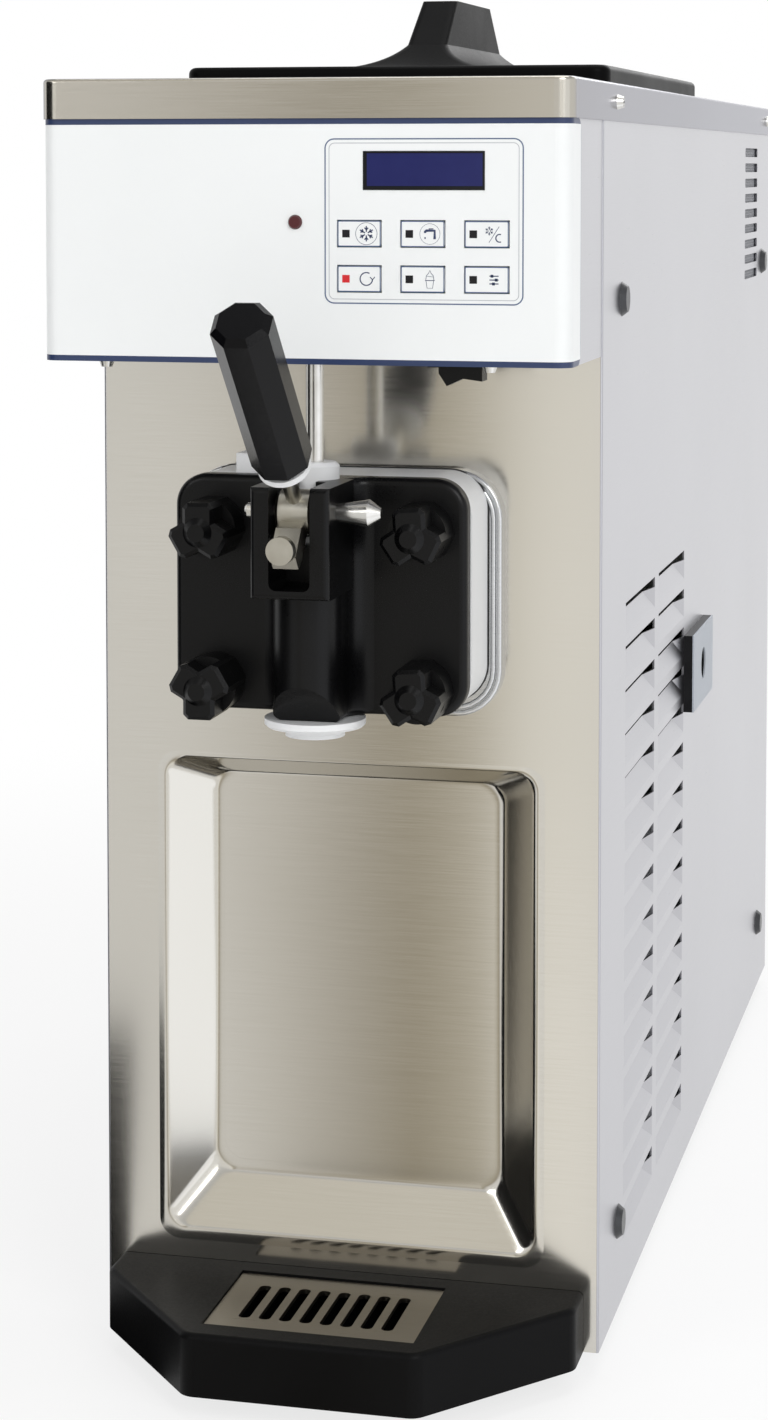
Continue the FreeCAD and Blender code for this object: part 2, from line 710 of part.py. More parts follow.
def wedge(owner, kind, side, **links):
    """A louvre-long block that tapers from the panel face inwards, with a ramp at either end."""
    made = owner.newObject("PartDesign::" + kind, owner.Name + "_wedge")
    made.Placement = FreeCAD.Placement(V(), FreeCAD.Rotation(V(0, 0, 1), 90 * side))
    half = "louvre_length / 2"
    bind(made, Xmin="-" + half, Xmax=half, X2min="louvre_ramp - " + half, X2max=half + " - louvre_ramp",
         **links)
    return locate(made, "%d * body_width / 2" % side, "louvre_front + " + half, "louvre_low")


def side_panel(name, side, opening):
    """One side sheet: two columns of pressed louvres, a field of vent slots and maybe a drawer opening."""
    sheet = body(name)
    face = "%d * body_width / 2" % side
    inner = face + (" - gauge" if side > 0 else "")
    pad(sheet, rect(sketch(sheet, "YZ_Plane", inner), "0", "0", "body_depth", "body_height"), "gauge")
    soften(sheet, "Fillet", "panel_edge", lambda p, q: upright(p, q) and same(p.y, 0)
           and same(p.x, number(face)))

    lip_top = "louvre_height - louvre_mouth"
    back = wedge(sheet, "AdditiveWedge", side, Ymin="gauge", Ymax="louvre_sink + gauge", Zmin="0",
                 Zmax=lip_top, Z2min=lip_top + " - gauge / 2", Z2max=lip_top)
    dish = wedge(sheet, "SubtractiveWedge", side, Ymin="0", Ymax="louvre_sink", Zmin="0",
                 Zmax="louvre_height", Z2min=lip_top, Z2max="louvre_height")
    mouth = pocket(sheet, rect(sketch(sheet, "YZ_Plane", inner + " + 2 * gauge"), "louvre_front",
                               "louvre_low + " + lip_top, "louvre_front + louvre_length",
                               "louvre_low + louvre_height"), through)
    rows(sheet, [back, dish, mouth], "Z_Axis", LOUVRE_ROWS, "louvre_pitch * %d" % (LOUVRE_ROWS - 1),
         "Y_Axis", "louvre_columns")
    slot = rounded(sketch(sheet, "YZ_Plane", inner + " + 2 * gauge"), "vent_front", "vent_low",
                   "vent_front + vent_length", "vent_low + vent_height", "vent_corner")
    slit = pocket(sheet, slot, through)
    rows(sheet, [slit], "Z_Axis", VENT_ROWS, "vent_pitch * %d" % (VENT_ROWS - 1))
    if opening:
        edge = "drawer_margin - fit_gap"
        window = rect(sketch(sheet, "YZ_Plane", inner + " + 2 * gauge"), "drawer_front + " + edge,
                      "drawer_low + " + edge, "drawer_front + drawer_length - (" + edge + ")",
                      "drawer_low + drawer_height - (" + edge + ")")
        pocket(sheet, window, through)
    return keep(sheet)


side_panel("left_side_panel", -1, False)
side_panel("right_side_panel", 1, True)

# Rear panel with its vent slots and the power inlet

rear = body("rear_panel")
pad(rear, rect(sketch(rear, "XZ_Plane", "gauge - body_depth"), "-" + half_in, "0", half_in, "body_height"),
    "gauge", True)
behind = "gauge * 2 - body_depth"
slot = rounded(sketch(rear, "XZ_Plane", behind), "-rear_vent_half", "rear_vent_low", "rear_vent_half",
               "rear_vent_low + rear_vent_height", "rear_vent_corner")
slit = pocket(rear, slot, through)
rows(rear, [slit], "Z_Axis", REAR_VENT_ROWS, "rear_vent_pitch * %d" % (REAR_VENT_ROWS - 1))
hole = rect(sketch(rear, "XZ_Plane", behind), "inlet_x - inlet_half_width", "inlet_z - inlet_half_height",
            "inlet_x + inlet_half_width", "inlet_z + inlet_half_height")
pocket(rear, hole, through)
keep(rear)

inlet = body("power_inlet")
pad(inlet, rect(sketch(inlet, "XZ_Plane", "-body_depth"), "inlet_x - inlet_half_width - inlet_rim",
                "inlet_z - inlet_half_height - inlet_rim", "inlet_x + inlet_half_width + inlet_rim",
                "inlet_z + inlet_half_height + inlet_rim"), "inlet_plate", True)
pad(inlet, rect(sketch(inlet, "XZ_Plane", "-body_depth"), "inlet_x - inlet_half_width",
                "inlet_z - inlet_half_height", "inlet_x + inlet_half_width", "inlet_z + inlet_half_height"),
    "inlet_depth")
pocket(inlet, rect(sketch(inlet, "XZ_Plane", "-body_depth - inlet_plate"),
                   "inlet_x - inlet_half_width + inlet_wall", "inlet_z - inlet_half_height + inlet_wall",
                   "inlet_x + inlet_half_width - inlet_wall", "inlet_z + inlet_half_height - inlet_wall"),
       "inlet_depth - inlet_wall", True)
blades = sketch(inlet, "XZ_Plane", "inlet_depth - inlet_wall - body_depth - gauge")
for place in ("-inlet_rim", "0", "inlet_rim"):
    rect(blades, "inlet_x + %s - inlet_blade / 2" % place, "inlet_z - inlet_rim / 2",
         "inlet_x + %s + inlet_blade / 2" % place, "inlet_z + inlet_rim / 2")
pad(inlet, blades, "inlet_depth - 2 * inlet_wall", True)
keep(inlet)


# Top cover

cap_half = "(body_width / 2 + cap_overhang)"
cap_top = "(body_height + cap_height)"
cap = body("top_cover")
pad(cap, rounded(sketch(cap, "XY_Plane", "body_height"), "-" + cap_half, "-header_depth - cap_overhang",
                 cap_half, "body_depth + cap_overhang", "cap_corner"), "cap_height")
pocket(cap, rounded(sketch(cap, "XY_Plane", "body_height"), "cap_wall - " + cap_half,
                    "cap_wall - header_depth - cap_overhang", cap_half + " - cap_wall",
                    "body_depth + cap_overhang - cap_wall", "cap_corner - cap_wall"),
       "cap_height - gauge", True)
pocket(cap, rounded(sketch(cap, "XY_Plane", cap_top), "-hopper_half - fit_gap", "hopper_front - fit_gap",
                    "hopper_half + fit_gap", "hopper_front + hopper_length + fit_gap",
                    "hopper_corner + fit_gap"), "2 * gauge")
crown_edge = lying("z", cap_top)
soften(cap, "Fillet", "cap_edge",
       lambda p, q: crown_edge(p, q) and max(abs(p.x), abs(q.x)) > number("hopper_half + hopper_rim"))
keep(cap)

# Header with the control panel

header_low = "(body_height - header_height)"
header_half = "(body_width / 2 - overlay_gauge)"
header_face = "(header_depth - overlay_gauge)"
key_x = "(body_width / 2 - key_inset)"
window_x = "(body_width / 2 - window_inset)"
key_spots = []
for level in ("body_height - key_top", "body_height - key_top - key_drop"):
    for column in (key_x + " - key_pitch", key_x, key_x + " + key_pitch"):
        key_spots.append((column, level))


def front_windows(owner):
    """Openings for the keys, the display and the lens through a header sheet."""
    plan = sketch(owner, "XZ_Plane", "header_depth + gauge")
    for x, z in key_spots:
        rect(plan, x + " - key_width / 2 - fit_gap", z + " - key_height / 2 - fit_gap",
             x + " + key_width / 2 + fit_gap", z + " + key_height / 2 + fit_gap")
    rect(plan, window_x + " - window_width / 2", "body_height - window_z - window_height / 2",
         window_x + " + window_width / 2", "body_height - window_z + window_height / 2")
    circle(plan, "lens_x", "body_height - lens_z", "lens_stem + run_gap")
    pocket(owner, plan, "4 * gauge")


header = body("header_shell")
pad(header, rect(sketch(header, "XY_Plane", header_low), "-" + header_half, "-" + header_face, header_half,
                 "0"), "header_height")
soften(header, "Fillet", "header_corner",
       lambda p, q: upright(p, q) and p.y < number("-" + header_face + " / 2"))
pocket(header, rounded(sketch(header, "XY_Plane", "body_height"), "gauge - " + header_half,
                       "gauge - " + header_face, header_half + " - gauge", "header_depth",
                       "header_corner - gauge"), "header_height - gauge")
front_windows(header)
floor = circle(sketch(header, "XY_Plane", header_low + " + 2 * gauge"), "door_x", "-valve_y",
               "rod_radius + rod_clear")
rect(floor, "switch_x - switch_half_width", "-switch_y - switch_half_depth", "switch_x + switch_half_width",
     "switch_half_depth - switch_y")
pocket(header, floor, through)
keep(header)

overlay = body("control_overlay")
pad(overlay, rect(sketch(overlay, "XY_Plane", header_low), "-body_width / 2", "-header_depth",
                  "body_width / 2", "overlay_return - header_depth"), "header_height")
soften(overlay, "Fillet", "header_corner + overlay_gauge",
       lambda p, q: upright(p, q) and same(p.y, number("-header_depth")))
pocket(overlay, rounded(sketch(overlay, "XY_Plane", "body_height"), "-" + header_half, "-" + header_face,
                        header_half, "header_depth", "header_corner"), "header_height")
soften(overlay, "Fillet", "overlay_round", lambda p, q: same(p.y, number("overlay_return - header_depth"))
       and same(p.y, q.y) and same(p.z, q.z))
front_windows(overlay)
keep(overlay)

for order, (x, z) in enumerate(key_spots, 1):
    key = body("key_%d" % order)
    pad(key, rounded(sketch(key, "XZ_Plane", "header_depth + key_proud"), x + " - key_width / 2",
                     z + " - key_height / 2", x + " + key_width / 2", z + " + key_height / 2",
                     "key_corner"), "key_thick", True)
    keep(key)

window = box("window_block", window_x + " - window_width / 2", "-header_depth - window_proud",
             "body_height - window_z - window_height / 2", "window_width",
             "header_depth + window_proud - board_back", "window_height")
keep(group("display_window", window))

lens_head = cone("lens_head", "y", "lens_x", "-header_depth - lens_proud", "body_height - lens_z",
                 "lens_radius - lens_proud / 2", "lens_radius", "lens_proud")
lens_stem = rod("lens_stalk", "y", "lens_x", "-header_depth", "body_height - lens_z", "lens_stem",
                "header_depth - board_back")
keep(join("indicator_lens", lens_head, lens_stem))

board = box("board_sheet", "-board_half", "-board_back", "body_height - board_low", "2 * board_half",
            "board_gauge", "board_low - board_high")
keep(group("control_board", board))

# Hopper, lid and air tube

hopper_floor = "(" + cap_top + " - hopper_depth)"
hopper = body("hopper")
pad(hopper, rounded(sketch(hopper, "XY_Plane", hopper_floor), "-hopper_half", "hopper_front", "hopper_half",
                    "hopper_front + hopper_length", "hopper_corner"), "hopper_depth + gauge")
pad(hopper, rounded(sketch(hopper, "XY_Plane", cap_top), "-hopper_half - hopper_rim",
                    "hopper_front - hopper_rim", "hopper_half + hopper_rim",
                    "hopper_front + hopper_length + hopper_rim", "hopper_corner + hopper_rim"), "gauge")
pocket(hopper, rounded(sketch(hopper, "XY_Plane", cap_top + " + gauge"), "gauge - hopper_half",
                       "hopper_front + gauge", "hopper_half - gauge",
                       "hopper_front + hopper_length - gauge", "hopper_corner - gauge"), "hopper_depth")
pocket(hopper, circle(sketch(hopper, "XY_Plane", hopper_floor + " + 2 * gauge"), "door_x", "outlet_y",
                      "hopper_outlet"), through)
keep(hopper)

lid_top = "(" + cap_top + " + lid_height)"
lid = body("hopper_lid")
pad(lid, rounded(sketch(lid, "XY_Plane", cap_top), "-lid_half", "lid_front", "lid_half",
                 "lid_front + lid_length", "lid_corner"), "lid_height")
soften(lid, "Fillet", "lid_edge", lying("z", lid_top))
pocket(lid, rounded(sketch(lid, "XY_Plane", cap_top), "lid_wall - lid_half", "lid_front + lid_wall",
                    "lid_half - lid_wall", "lid_front + lid_length - lid_wall", "lid_corner - lid_wall"),
       "lid_height - lid_wall", True)


def fin(part, rise):
    """A level section of the lid's fin at a rise above the lid."""
    plan = sketch(lid, "XY_Plane", lid_top + " + " + rise)
    return rounded(plan, "-fin_%s_half" % part, "fin_%s_front" % part, "fin_%s_half" % part,
                   "fin_%s_rear" % part, "fin_round")


flare = loft(lid, "AdditiveLoft", fin("skirt", "0"), fin("sweep", "fin_sweep_rise"),
             fin("waist", "fin_waist_rise"))
flare.Ruled = False
loft(lid, "AdditiveLoft", fin("waist", "fin_waist_rise"), fin("top", "fin_rise"))
keep(lid)

tube_radius = "(hopper_outlet - 2 * run_gap)"
tube_out = rod("tube_outer", "z", "door_x", "outlet_y", hopper_floor + " + gauge - tube_sink", tube_radius,
               "tube_sink + tube_rise")
collar = rod("tube_collar_ring", "z", "door_x", "outlet_y", hopper_floor + " + gauge",
             "hopper_outlet + tube_collar", "tube_collar")
tube_in = rod("tube_inner", "z", "door_x", "outlet_y", hopper_floor + " - tube_sink",
              tube_radius + " - tube_wall", "tube_sink + tube_rise + 2 * tube_collar")
keep(cut("air_tube", join("tube_body", tube_out, collar), tube_in))

# Freezing cylinder, its jacket and the beater

barrel_outer = rod("barrel_outer", "y", "door_x", "-flange_plate", "axis_z", "bore_radius + bore_wall",
                   "barrel_rear + flange_plate")
barrel_collar = box("barrel_collar", "door_x - collar_half", "gauge", "axis_z - collar_low",
                    "2 * collar_half", "collar_plate", "collar_low + collar_high")
neck = rod("neck_outer", "z", "door_x", "outlet_y", "axis_z + bore_radius / 2", "hopper_outlet + neck_wall",
           hopper_floor + " - axis_z - bore_radius / 2")
neck_bore = rod("neck_bore", "z", "door_x", "outlet_y", "axis_z", "hopper_outlet",
                hopper_floor + " - axis_z")
barrel_bore = rod("barrel_bore", "y", "door_x", "-flange_plate", "axis_z", "bore_radius",
                  "barrel_rear + flange_plate - barrel_rear_wall")
shaft_hole = rod("barrel_shaft_hole", "y", "door_x", "0", "axis_z", "shaft_radius + 2 * run_gap",
                 "barrel_rear")
keep(cut("freezing_cylinder", join("barrel_shell", barrel_outer, barrel_collar, neck),
         barrel_bore, neck_bore, shaft_hole))

jacket_block = box("jacket_block", "door_x - jacket_half", "gauge + collar_plate", "axis_z - jacket_low",
                   "2 * jacket_half", "barrel_rear - gauge - collar_plate", "jacket_low + jacket_high")
jacket_bore = rod("jacket_bore", "y", "door_x", "0", "axis_z", "bore_radius + bore_wall + run_gap",
                  "barrel_rear")
jacket_neck = rod("jacket_neck", "z", "door_x", "outlet_y", "axis_z", "hopper_outlet + neck_wall + run_gap",
                  "jacket_high")
keep(cut("insulation_jacket", jacket_block, jacket_bore, jacket_neck))

seal = rod("seal_ring", "y", "door_x", "barrel_rear", "axis_z", "seal_radius", "seal_length")
seal_hole = rod("seal_hole", "y", "door_x", "barrel_rear", "axis_z", "shaft_radius + 2 * run_gap",
                "seal_length")
keep(cut("shaft_seal", seal, seal_hole))

beater_front = "plug_length + beater_gap"
beater_length = "(barrel_rear - barrel_rear_wall - plug_length - 2 * beater_gap)"
beater_radius = "(bore_radius - beater_gap)"
spine = rod("beater_spine", "y", "door_x", beater_front, "axis_z", "shaft_radius", beater_length)
members = [spine]
for side in ("-1", "1"):
    members.append(box("beater_blade", "door_x - blade_width / 2", beater_front,
                       "axis_z + " + side + " * (" + beater_radius + " - blade_depth) - blade_depth / 2",
                       "blade_width", beater_length, "blade_depth"))
for place in ("0", "0.5", "1"):
    members.append(box("beater_arm", "door_x - blade_depth / 2",
                       beater_front + " + " + place + " * (" + beater_length + " - blade_width)",
                       "axis_z - " + beater_radius + " + blade_depth", "blade_depth", "blade_width",
                       "2 * (" + beater_radius + " - blade_depth)"))
keep(join("beater", *members))

# Support frame and drive

frame_sheet = box("frame_sheet", "-" + half_in, "frame_front", "pan_lip", "2 * " + half_in, "frame_plate",
                  hopper_floor + " - pan_lip")
frame_leg = box("frame_leg", "gauge - " + half_in, "frame_front", "gauge",
                "2 * " + half_in + " - 2 * gauge", "frame_plate", "pan_lip")
frame_bore = rod("frame_bore", "y", "door_x", "frame_front", "axis_z", "frame_hole", "frame_plate")
keep(cut("support_frame", join("frame_body", frame_sheet, frame_leg), frame_bore))

drive_rear = "(frame_front + frame_plate)"
shaft_start = beater_front + " + " + beater_length
keep(group("drive_shaft", rod("shaft_bar", "y", "door_x", shaft_start, "axis_z", "shaft_radius",
                              drive_rear + " + drive_grip - (" + shaft_start + ")")))
reducer_block = box("reducer_block", "door_x - reducer_half", drive_rear, "axis_z - reducer_half",
                    "2 * reducer_half", "reducer_length", "2 * reducer_half")
reducer_bore = rod("reducer_bore", "y", "door_x", drive_rear, "axis_z", "shaft_radius + 2 * run_gap",
                   "drive_grip + beater_gap")
keep(cut("gear_reducer", reducer_block, reducer_bore))
motor_can = rod("motor_can", "y", "door_x", drive_rear + " + reducer_length", "axis_z", "motor_radius",
                "motor_length - motor_cap")
motor_end = cone("motor_end", "y", "door_x", drive_rear + " + reducer_length + motor_length - motor_cap",
                 "axis_z", "motor_radius", "motor_radius / 2", "motor_cap")
keep(join("drive_motor", motor_can, motor_end))

# Cold side

shell = rod("comp_shell", "z", "0", "comp_y", "gauge + comp_foot", "comp_radius", "comp_wall")
crown = cone("comp_crown", "z", "0", "comp_y", "gauge + comp_foot + comp_wall", "comp_radius",
             "comp_radius / 2", "comp_dome")
base = box("comp_base", "-comp_radius", "comp_y - comp_radius", "gauge", "2 * comp_radius",
           "2 * comp_radius", "comp_foot")
keep(join("compressor", shell, crown, base))

coil_x = "(" + half_in + " - coil_gap - coil_thick)"
coil = box("coil_block", coil_x, "coil_front", "gauge", "coil_thick", "coil_length", "coil_height")
shroud = box("shroud_sheet", coil_x + " - shroud_plate", "coil_front", "gauge", "shroud_plate",
             "coil_length", "coil_height")
fan_y = "coil_front + coil_length / 2"
fan_z = "gauge + coil_height / 2"
shroud_hole = rod("shroud_hole", "x", coil_x + " - shroud_plate", fan_y, fan_z, "fan_radius + fan_tip_gap",
                  "shroud_plate")
keep(cut("condenser", join("coil_pack", coil, shroud), shroud_hole))

fan_x = "(" + coil_x + " - shroud_plate - fan_tip_gap - fan_depth)"
spin = body("condenser_fan")
pad(spin, circle(sketch(spin, "YZ_Plane"), "0", "0", "hub_radius"), "fan_depth")
paddle = polygon(sketch(spin, "XY_Plane", "hub_radius / 2"),
                 ("fan_depth / 2 - blade_chord / 2 * sin(blade_pitch)",
                  "-blade_chord / 2 * cos(blade_pitch)"),
                 ("fan_depth / 2 + blade_chord / 2 * sin(blade_pitch)",
                  "blade_chord / 2 * cos(blade_pitch)"),
                 ("fan_depth / 2 + blade_chord / 2 * sin(blade_pitch) - blade_thick",
                  "blade_chord / 2 * cos(blade_pitch)"),
                 ("fan_depth / 2 - blade_chord / 2 * sin(blade_pitch) - blade_thick",
                  "-blade_chord / 2 * cos(blade_pitch)"))
vane = pad(spin, paddle, "sqrt(fan_radius * fan_radius - blade_chord * blade_chord / 4) - hub_radius / 2")
doc.recompute()
ring = spin.newObject("PartDesign::PolarPattern", "fan_ring")
ring.Originals = [vane]
ring.Axis = origin(spin, "X_Axis")
ring.Occurrences = 5
ring.Angle = 360
spin.Tip = ring
pieces.append(locate(spin, fan_x, datum_y + " + " + fan_y, "foot_height + " + fan_z))

fan_can = rod("fan_can", "x", fan_x + " - fit_gap - fan_motor_length", fan_y, fan_z, "fan_motor_radius",
              "fan_motor_length")
bracket = box("fan_bracket", fan_x + " - fit_gap - fan_motor_length", fan_y + " - bracket_width / 2",
              "gauge", "bracket_width", "bracket_width", "coil_height / 2")
keep(join("fan_motor", fan_can, bracket))

# Dispensing door

door_foot = "(axis_z - door_low)"
door_top = "(axis_z + door_high)"

flange = body("door_flange")
pad(flange, rounded(sketch(flange, "XZ_Plane"), "door_x - flange_half", door_foot + " - flange_drop",
                    "door_x + flange_half", door_top, "flange_corner"), "flange_plate")
bores = circle(sketch(flange, "XZ_Plane", "flange_plate + gauge"), "door_x", "axis_z", barrel_hole)
for x, z in stud_spots:
    circle(bores, x, z, stud_hole)
pocket(flange, bores, "flange_plate + 2 * gauge")
keep(flange)

slab = body("door_body")
pad(slab, rounded(sketch(slab, "XZ_Plane", "flange_plate"), "door_x - slab_half", door_foot,
                  "door_x + slab_half", door_top, "slab_corner"), "slab_face - flange_plate")
pad(slab, rect(sketch(slab, "XZ_Plane", "lug_back"), "door_x - lug_left", door_top + " - lug_rise",
               "door_x - lug_right", door_top + " + lug_rise"), "slab_face - lug_back")
pad(slab, circle(sketch(slab, "XZ_Plane", "flange_plate"), "door_x", "axis_z", "bore_radius - fit_gap"),
    "flange_plate + plug_length", True)
bores = circle(sketch(slab, "XZ_Plane", "slab_face + gauge"), "door_x", "axis_z - passage_drop",
               "passage_radius")
for x, z in stud_spots:
    circle(bores, x, z, stud_hole)
pocket(slab, bores, "slab_face + plug_length + 2 * gauge")
keep(slab)

cover = body("door_cover")
pad(cover, rounded(sketch(cover, "XZ_Plane", "slab_face"), "door_x - cover_half", door_foot,
                   "door_x + cover_half", door_top, "cover_corner"), "cover_face - slab_face")
pad(cover, rect(sketch(cover, "XY_Plane", door_foot), "door_x - spout_radius", "-spout_nose",
                "door_x + spout_radius", "-slab_face"), "door_low + door_high")
pad(cover, circle(sketch(cover, "XY_Plane", door_foot), "door_x", "-spout_nose", "spout_radius"),
    "door_low + door_high")
soften(cover, "Fillet", "cover_blend", lambda p, q: upright(p, q) and same(p.y, number("-cover_face"))
       and same(abs(p.x - number("door_x")), number("spout_radius")))
soften(cover, "Fillet", "cover_edge", lying("y", "-cover_face"))
pad(cover, rect(sketch(cover, "XZ_Plane", "valve_y"), "door_x - block_half", "axis_z + block_low",
                "door_x + block_half", door_top), "block_face - valve_y")
soften(cover, "Fillet", "block_round", lying("y", "-block_face"))
nose_front = "-spout_nose - spout_radius"
slope = polygon(sketch(cover, "YZ_Plane", "door_x + spout_radius + gauge"),
                (nose_front, door_foot + " + spout_bevel"),
                (nose_front + " - gauge", door_foot + " + spout_bevel"),
                (nose_front + " - gauge", door_foot + " - gauge"),
                ("-spout_nose", door_foot + " - gauge"),
                ("-spout_nose", door_foot))
pocket(cover, slope, "2 * spout_radius + 2 * gauge")
pocket(cover, circle(sketch(cover, "XY_Plane", door_top + " + gauge"), "door_x", "-valve_y",
                     "valve_radius + run_gap"), "door_low + door_high + 2 * gauge")
pocket(cover, rounded(sketch(cover, "XZ_Plane", "block_face + gauge"), "door_x - fork_half",
                      "axis_z + fork_low", "door_x + fork_half", door_top + " + 2 * fork_corner",
                      "fork_corner"), "block_face + gauge - valve_y - spout_radius")
pocket(cover, rect(sketch(cover, "XY_Plane", door_top + " + gauge"), "door_x - gate_half",
                   "-valve_y - spout_radius - gauge", "door_x + gate_half", "-valve_y"),
       "door_high - gate_low + gauge")
bores = circle(sketch(cover, "XZ_Plane", "cover_face + gauge"), stud_spots[0][0], stud_spots[0][1],
               stud_hole)
for x, z in stud_spots[1:]:
    circle(bores, x, z, stud_hole)
pocket(cover, bores, "cover_face")
passage = circle(sketch(cover, "XZ_Plane", "valve_y"), "door_x", "axis_z - passage_drop", "passage_radius")
pocket(cover, passage, "valve_y")
pocket(cover, circle(sketch(cover, "YZ_Plane", "door_x + block_half + gauge"), "-pin_y", "axis_z + pin_z",
                     "pin_radius + run_gap"), "2 * block_half + 2 * gauge")
keep(cover)

# Door studs and hand knobs

studs = []
for x, z in stud_spots:
    studs.append(rod("stud", "y", x, "-cover_face - knob_bore + stud_end_gap", z, "stud_radius",
                     "cover_face + knob_bore + gauge - stud_end_gap"))
keep(group("door_studs", *studs))


def knob_outline(drawing):
    """Three equal wings round the axis, the first one upright."""
    corners = []
    for turn in (0, 120, 240):
        for side in (-1, 1):
            corners.append(("knob_reach * sin(%d) + %d * knob_wing * cos(%d)" % (turn, side, turn),
                            "knob_reach * cos(%d) - %d * knob_wing * sin(%d)" % (turn, side, turn)))
        corners.append(("knob_wing / sin(60) * sin(%d + 60)" % turn,
                        "knob_wing / sin(60) * cos(%d + 60)" % turn))
    return polygon(drawing, *corners)


def wing_corner(p, q):
    """Whether an edge of a knob runs along Y at a corner of a wing."""
    along = same(p.x, q.x) and same(p.z, q.z)
    return along and V(p.x, 0, p.z).Length > number("knob_reach")


knob_turns = ("knob_turn_left", "knob_turn_low", "knob_turn_right", "knob_turn_right")
for order, ((x, z), turn) in enumerate(zip(stud_spots, knob_turns), 1):
    knob = body("knob_%d" % order)
    pad(knob, knob_outline(sketch(knob, "XZ_Plane")), "knob_length")
    soften(knob, "Chamfer", "knob_corner", wing_corner)
    soften(knob, "Chamfer", "knob_bevel", lying("y", "-knob_length"))
    pad(knob, circle(sketch(knob, "XZ_Plane"), "0", "0", "knob_collar"), "knob_collar_length")
    peak = pad(knob, circle(sketch(knob, "XZ_Plane", "knob_length"), "0", "0", "knob_peak"),
               "knob_peak_rise")
    peak.TaperAngle = -45
    pocket(knob, circle(sketch(knob, "XZ_Plane"), "0", "0", "stud_radius + run_gap"), "knob_bore", True)
    knob.Placement = FreeCAD.Placement(V(), FreeCAD.Rotation(V(0, 1, 0), 1))
    knob.setExpression("Placement.Rotation.Angle", ex("-" + turn))
    pieces.append(locate(knob, x, datum_y + " - cover_face - fit_gap", "foot_height + " + z))

# Draw valve and switch rod

finger_y = "(finger_reach * cos(finger_drop) - pin_y)"
finger_z = "(axis_z + pin_z - finger_reach * sin(finger_drop))"
valve = body("draw_valve")
pad(valve, circle(sketch(valve, "XY_Plane", door_foot + " + valve_foot"), "door_x", "-valve_y",
                  "valve_radius"), "door_low + door_high - valve_foot + valve_rise")
soften(valve, "Chamfer", "valve_bevel", lying("z", door_top + " + valve_rise"))
pocket(valve, rect(sketch(valve, "XZ_Plane", "valve_y + valve_radius + gauge"), "door_x - gate_half",
                   finger_z + " - valve_window / 2", "door_x + gate_half",
                   finger_z + " + valve_window / 2"),
       "valve_y + valve_radius + gauge + " + finger_y + " + finger_nose + gauge")
keep(valve)
rod_foot = "(" + door_top + " + valve_rise)"
keep(group("switch_rod", rod("rod_bar", "z", "door_x", "-valve_y", rod_foot, "rod_radius",
                             header_low + " + rod_rise - " + rod_foot)))

# Draw handle

pin_level = "(axis_z + pin_z)"
hub = rod("lever_hub", "x", "door_x - hub_half + hub_bevel", "-pin_y", pin_level, "hub_outer",
          "2 * hub_half - 2 * hub_bevel")
hub_left = cone("lever_hub_left", "x", "door_x - hub_half", "-pin_y", pin_level, "hub_outer - hub_bevel",
                "hub_outer", "hub_bevel")
hub_right = cone("lever_hub_right", "x", "door_x + hub_half - hub_bevel", "-pin_y", pin_level, "hub_outer",
                 "hub_outer - hub_bevel", "hub_bevel")
stem = rod("lever_stem", "z", "door_x", "-pin_y", pin_level, "stem_radius", "grip_start + ferrule_length")
stem.Placement = FreeCAD.Placement(V(), FreeCAD.Rotation(V(1, 0, 0), 1))
stem.setExpression("Placement.Rotation.Angle", ex("lean"))
tail = body("lever_tail")
pad(tail, polygon(sketch(tail, "YZ_Plane", "door_x - tail_half"),
                  ("-pin_y", pin_level),
                  ("-pin_y - tail_top_out", pin_level + " - tail_top_drop"),
                  ("-pin_y - tail_low_out", pin_level + " - tail_low_drop"),
                  ("-pin_y - tail_end_out", pin_level + " - tail_end_drop"),
                  ("-pin_y - tail_back_out", pin_level + " - tail_back_drop")), "2 * tail_half")
finger = body("lever_finger")
pad(finger, polygon(sketch(finger, "YZ_Plane", "door_x - finger_half"),
                    ("-pin_y", pin_level + " + finger_bar / 2"),
                    ("-pin_y", pin_level + " - finger_bar / 2"),
                    (finger_y, finger_z + " - finger_bar / 2"),
                    (finger_y, finger_z + " + finger_bar / 2")), "2 * finger_half")
nose = rod("lever_nose", "x", "door_x - finger_half", finger_y, finger_z, "finger_nose", "2 * finger_half")
pin_bore = rod("lever_bore", "x", "door_x - 2 * hub_half", "-pin_y", pin_level, "pin_radius + run_gap",
               "4 * hub_half")
screw_way = rod("lever_screw_way", "y", "door_x", "-pin_y - 2 * screw_front", pin_level + " - screw_drop",
                "screw_radius", "2 * screw_front - screw_tip / 2")
keep(cut("draw_lever", join("lever_body", hub, hub_left, hub_right, stem, tail, finger, nose), pin_bore,
         screw_way))

screw_shank = rod("screw_shank", "y", "door_x", "-pin_y - screw_front", pin_level + " - screw_drop",
                  "screw_radius", "screw_front - screw_tip")
screw_cap = rod("screw_cap", "y", "door_x", "-pin_y - screw_front", pin_level + " - screw_drop",
                "screw_head", "screw_head_length")
keep(join("adjusting_screw", screw_shank, screw_cap))


def lean_out(thing, distance):
    """Set a piece on the leaning handle axis at a distance from the pin."""
    thing.Placement = FreeCAD.Placement(V(), FreeCAD.Rotation(V(1, 0, 0), 1))
    thing.setExpression("Placement.Rotation.Angle", ex("lean"))
    pieces.append(thing)
    return locate(thing, "door_x", datum_y + " - pin_y - (" + distance + ") * sin(lean)",
                  "foot_height + " + pin_level + " + (" + distance + ") * cos(lean)")


ferrule = body("grip_ferrule")
pad(ferrule, circle(sketch(ferrule, "XY_Plane"), "0", "0", "ferrule_radius"), "ferrule_length")
pocket(ferrule, circle(sketch(ferrule, "XY_Plane", "ferrule_length + gauge"), "0", "0",
                       "stem_radius + run_gap"), "ferrule_length + 2 * gauge")
lean_out(ferrule, "grip_start")

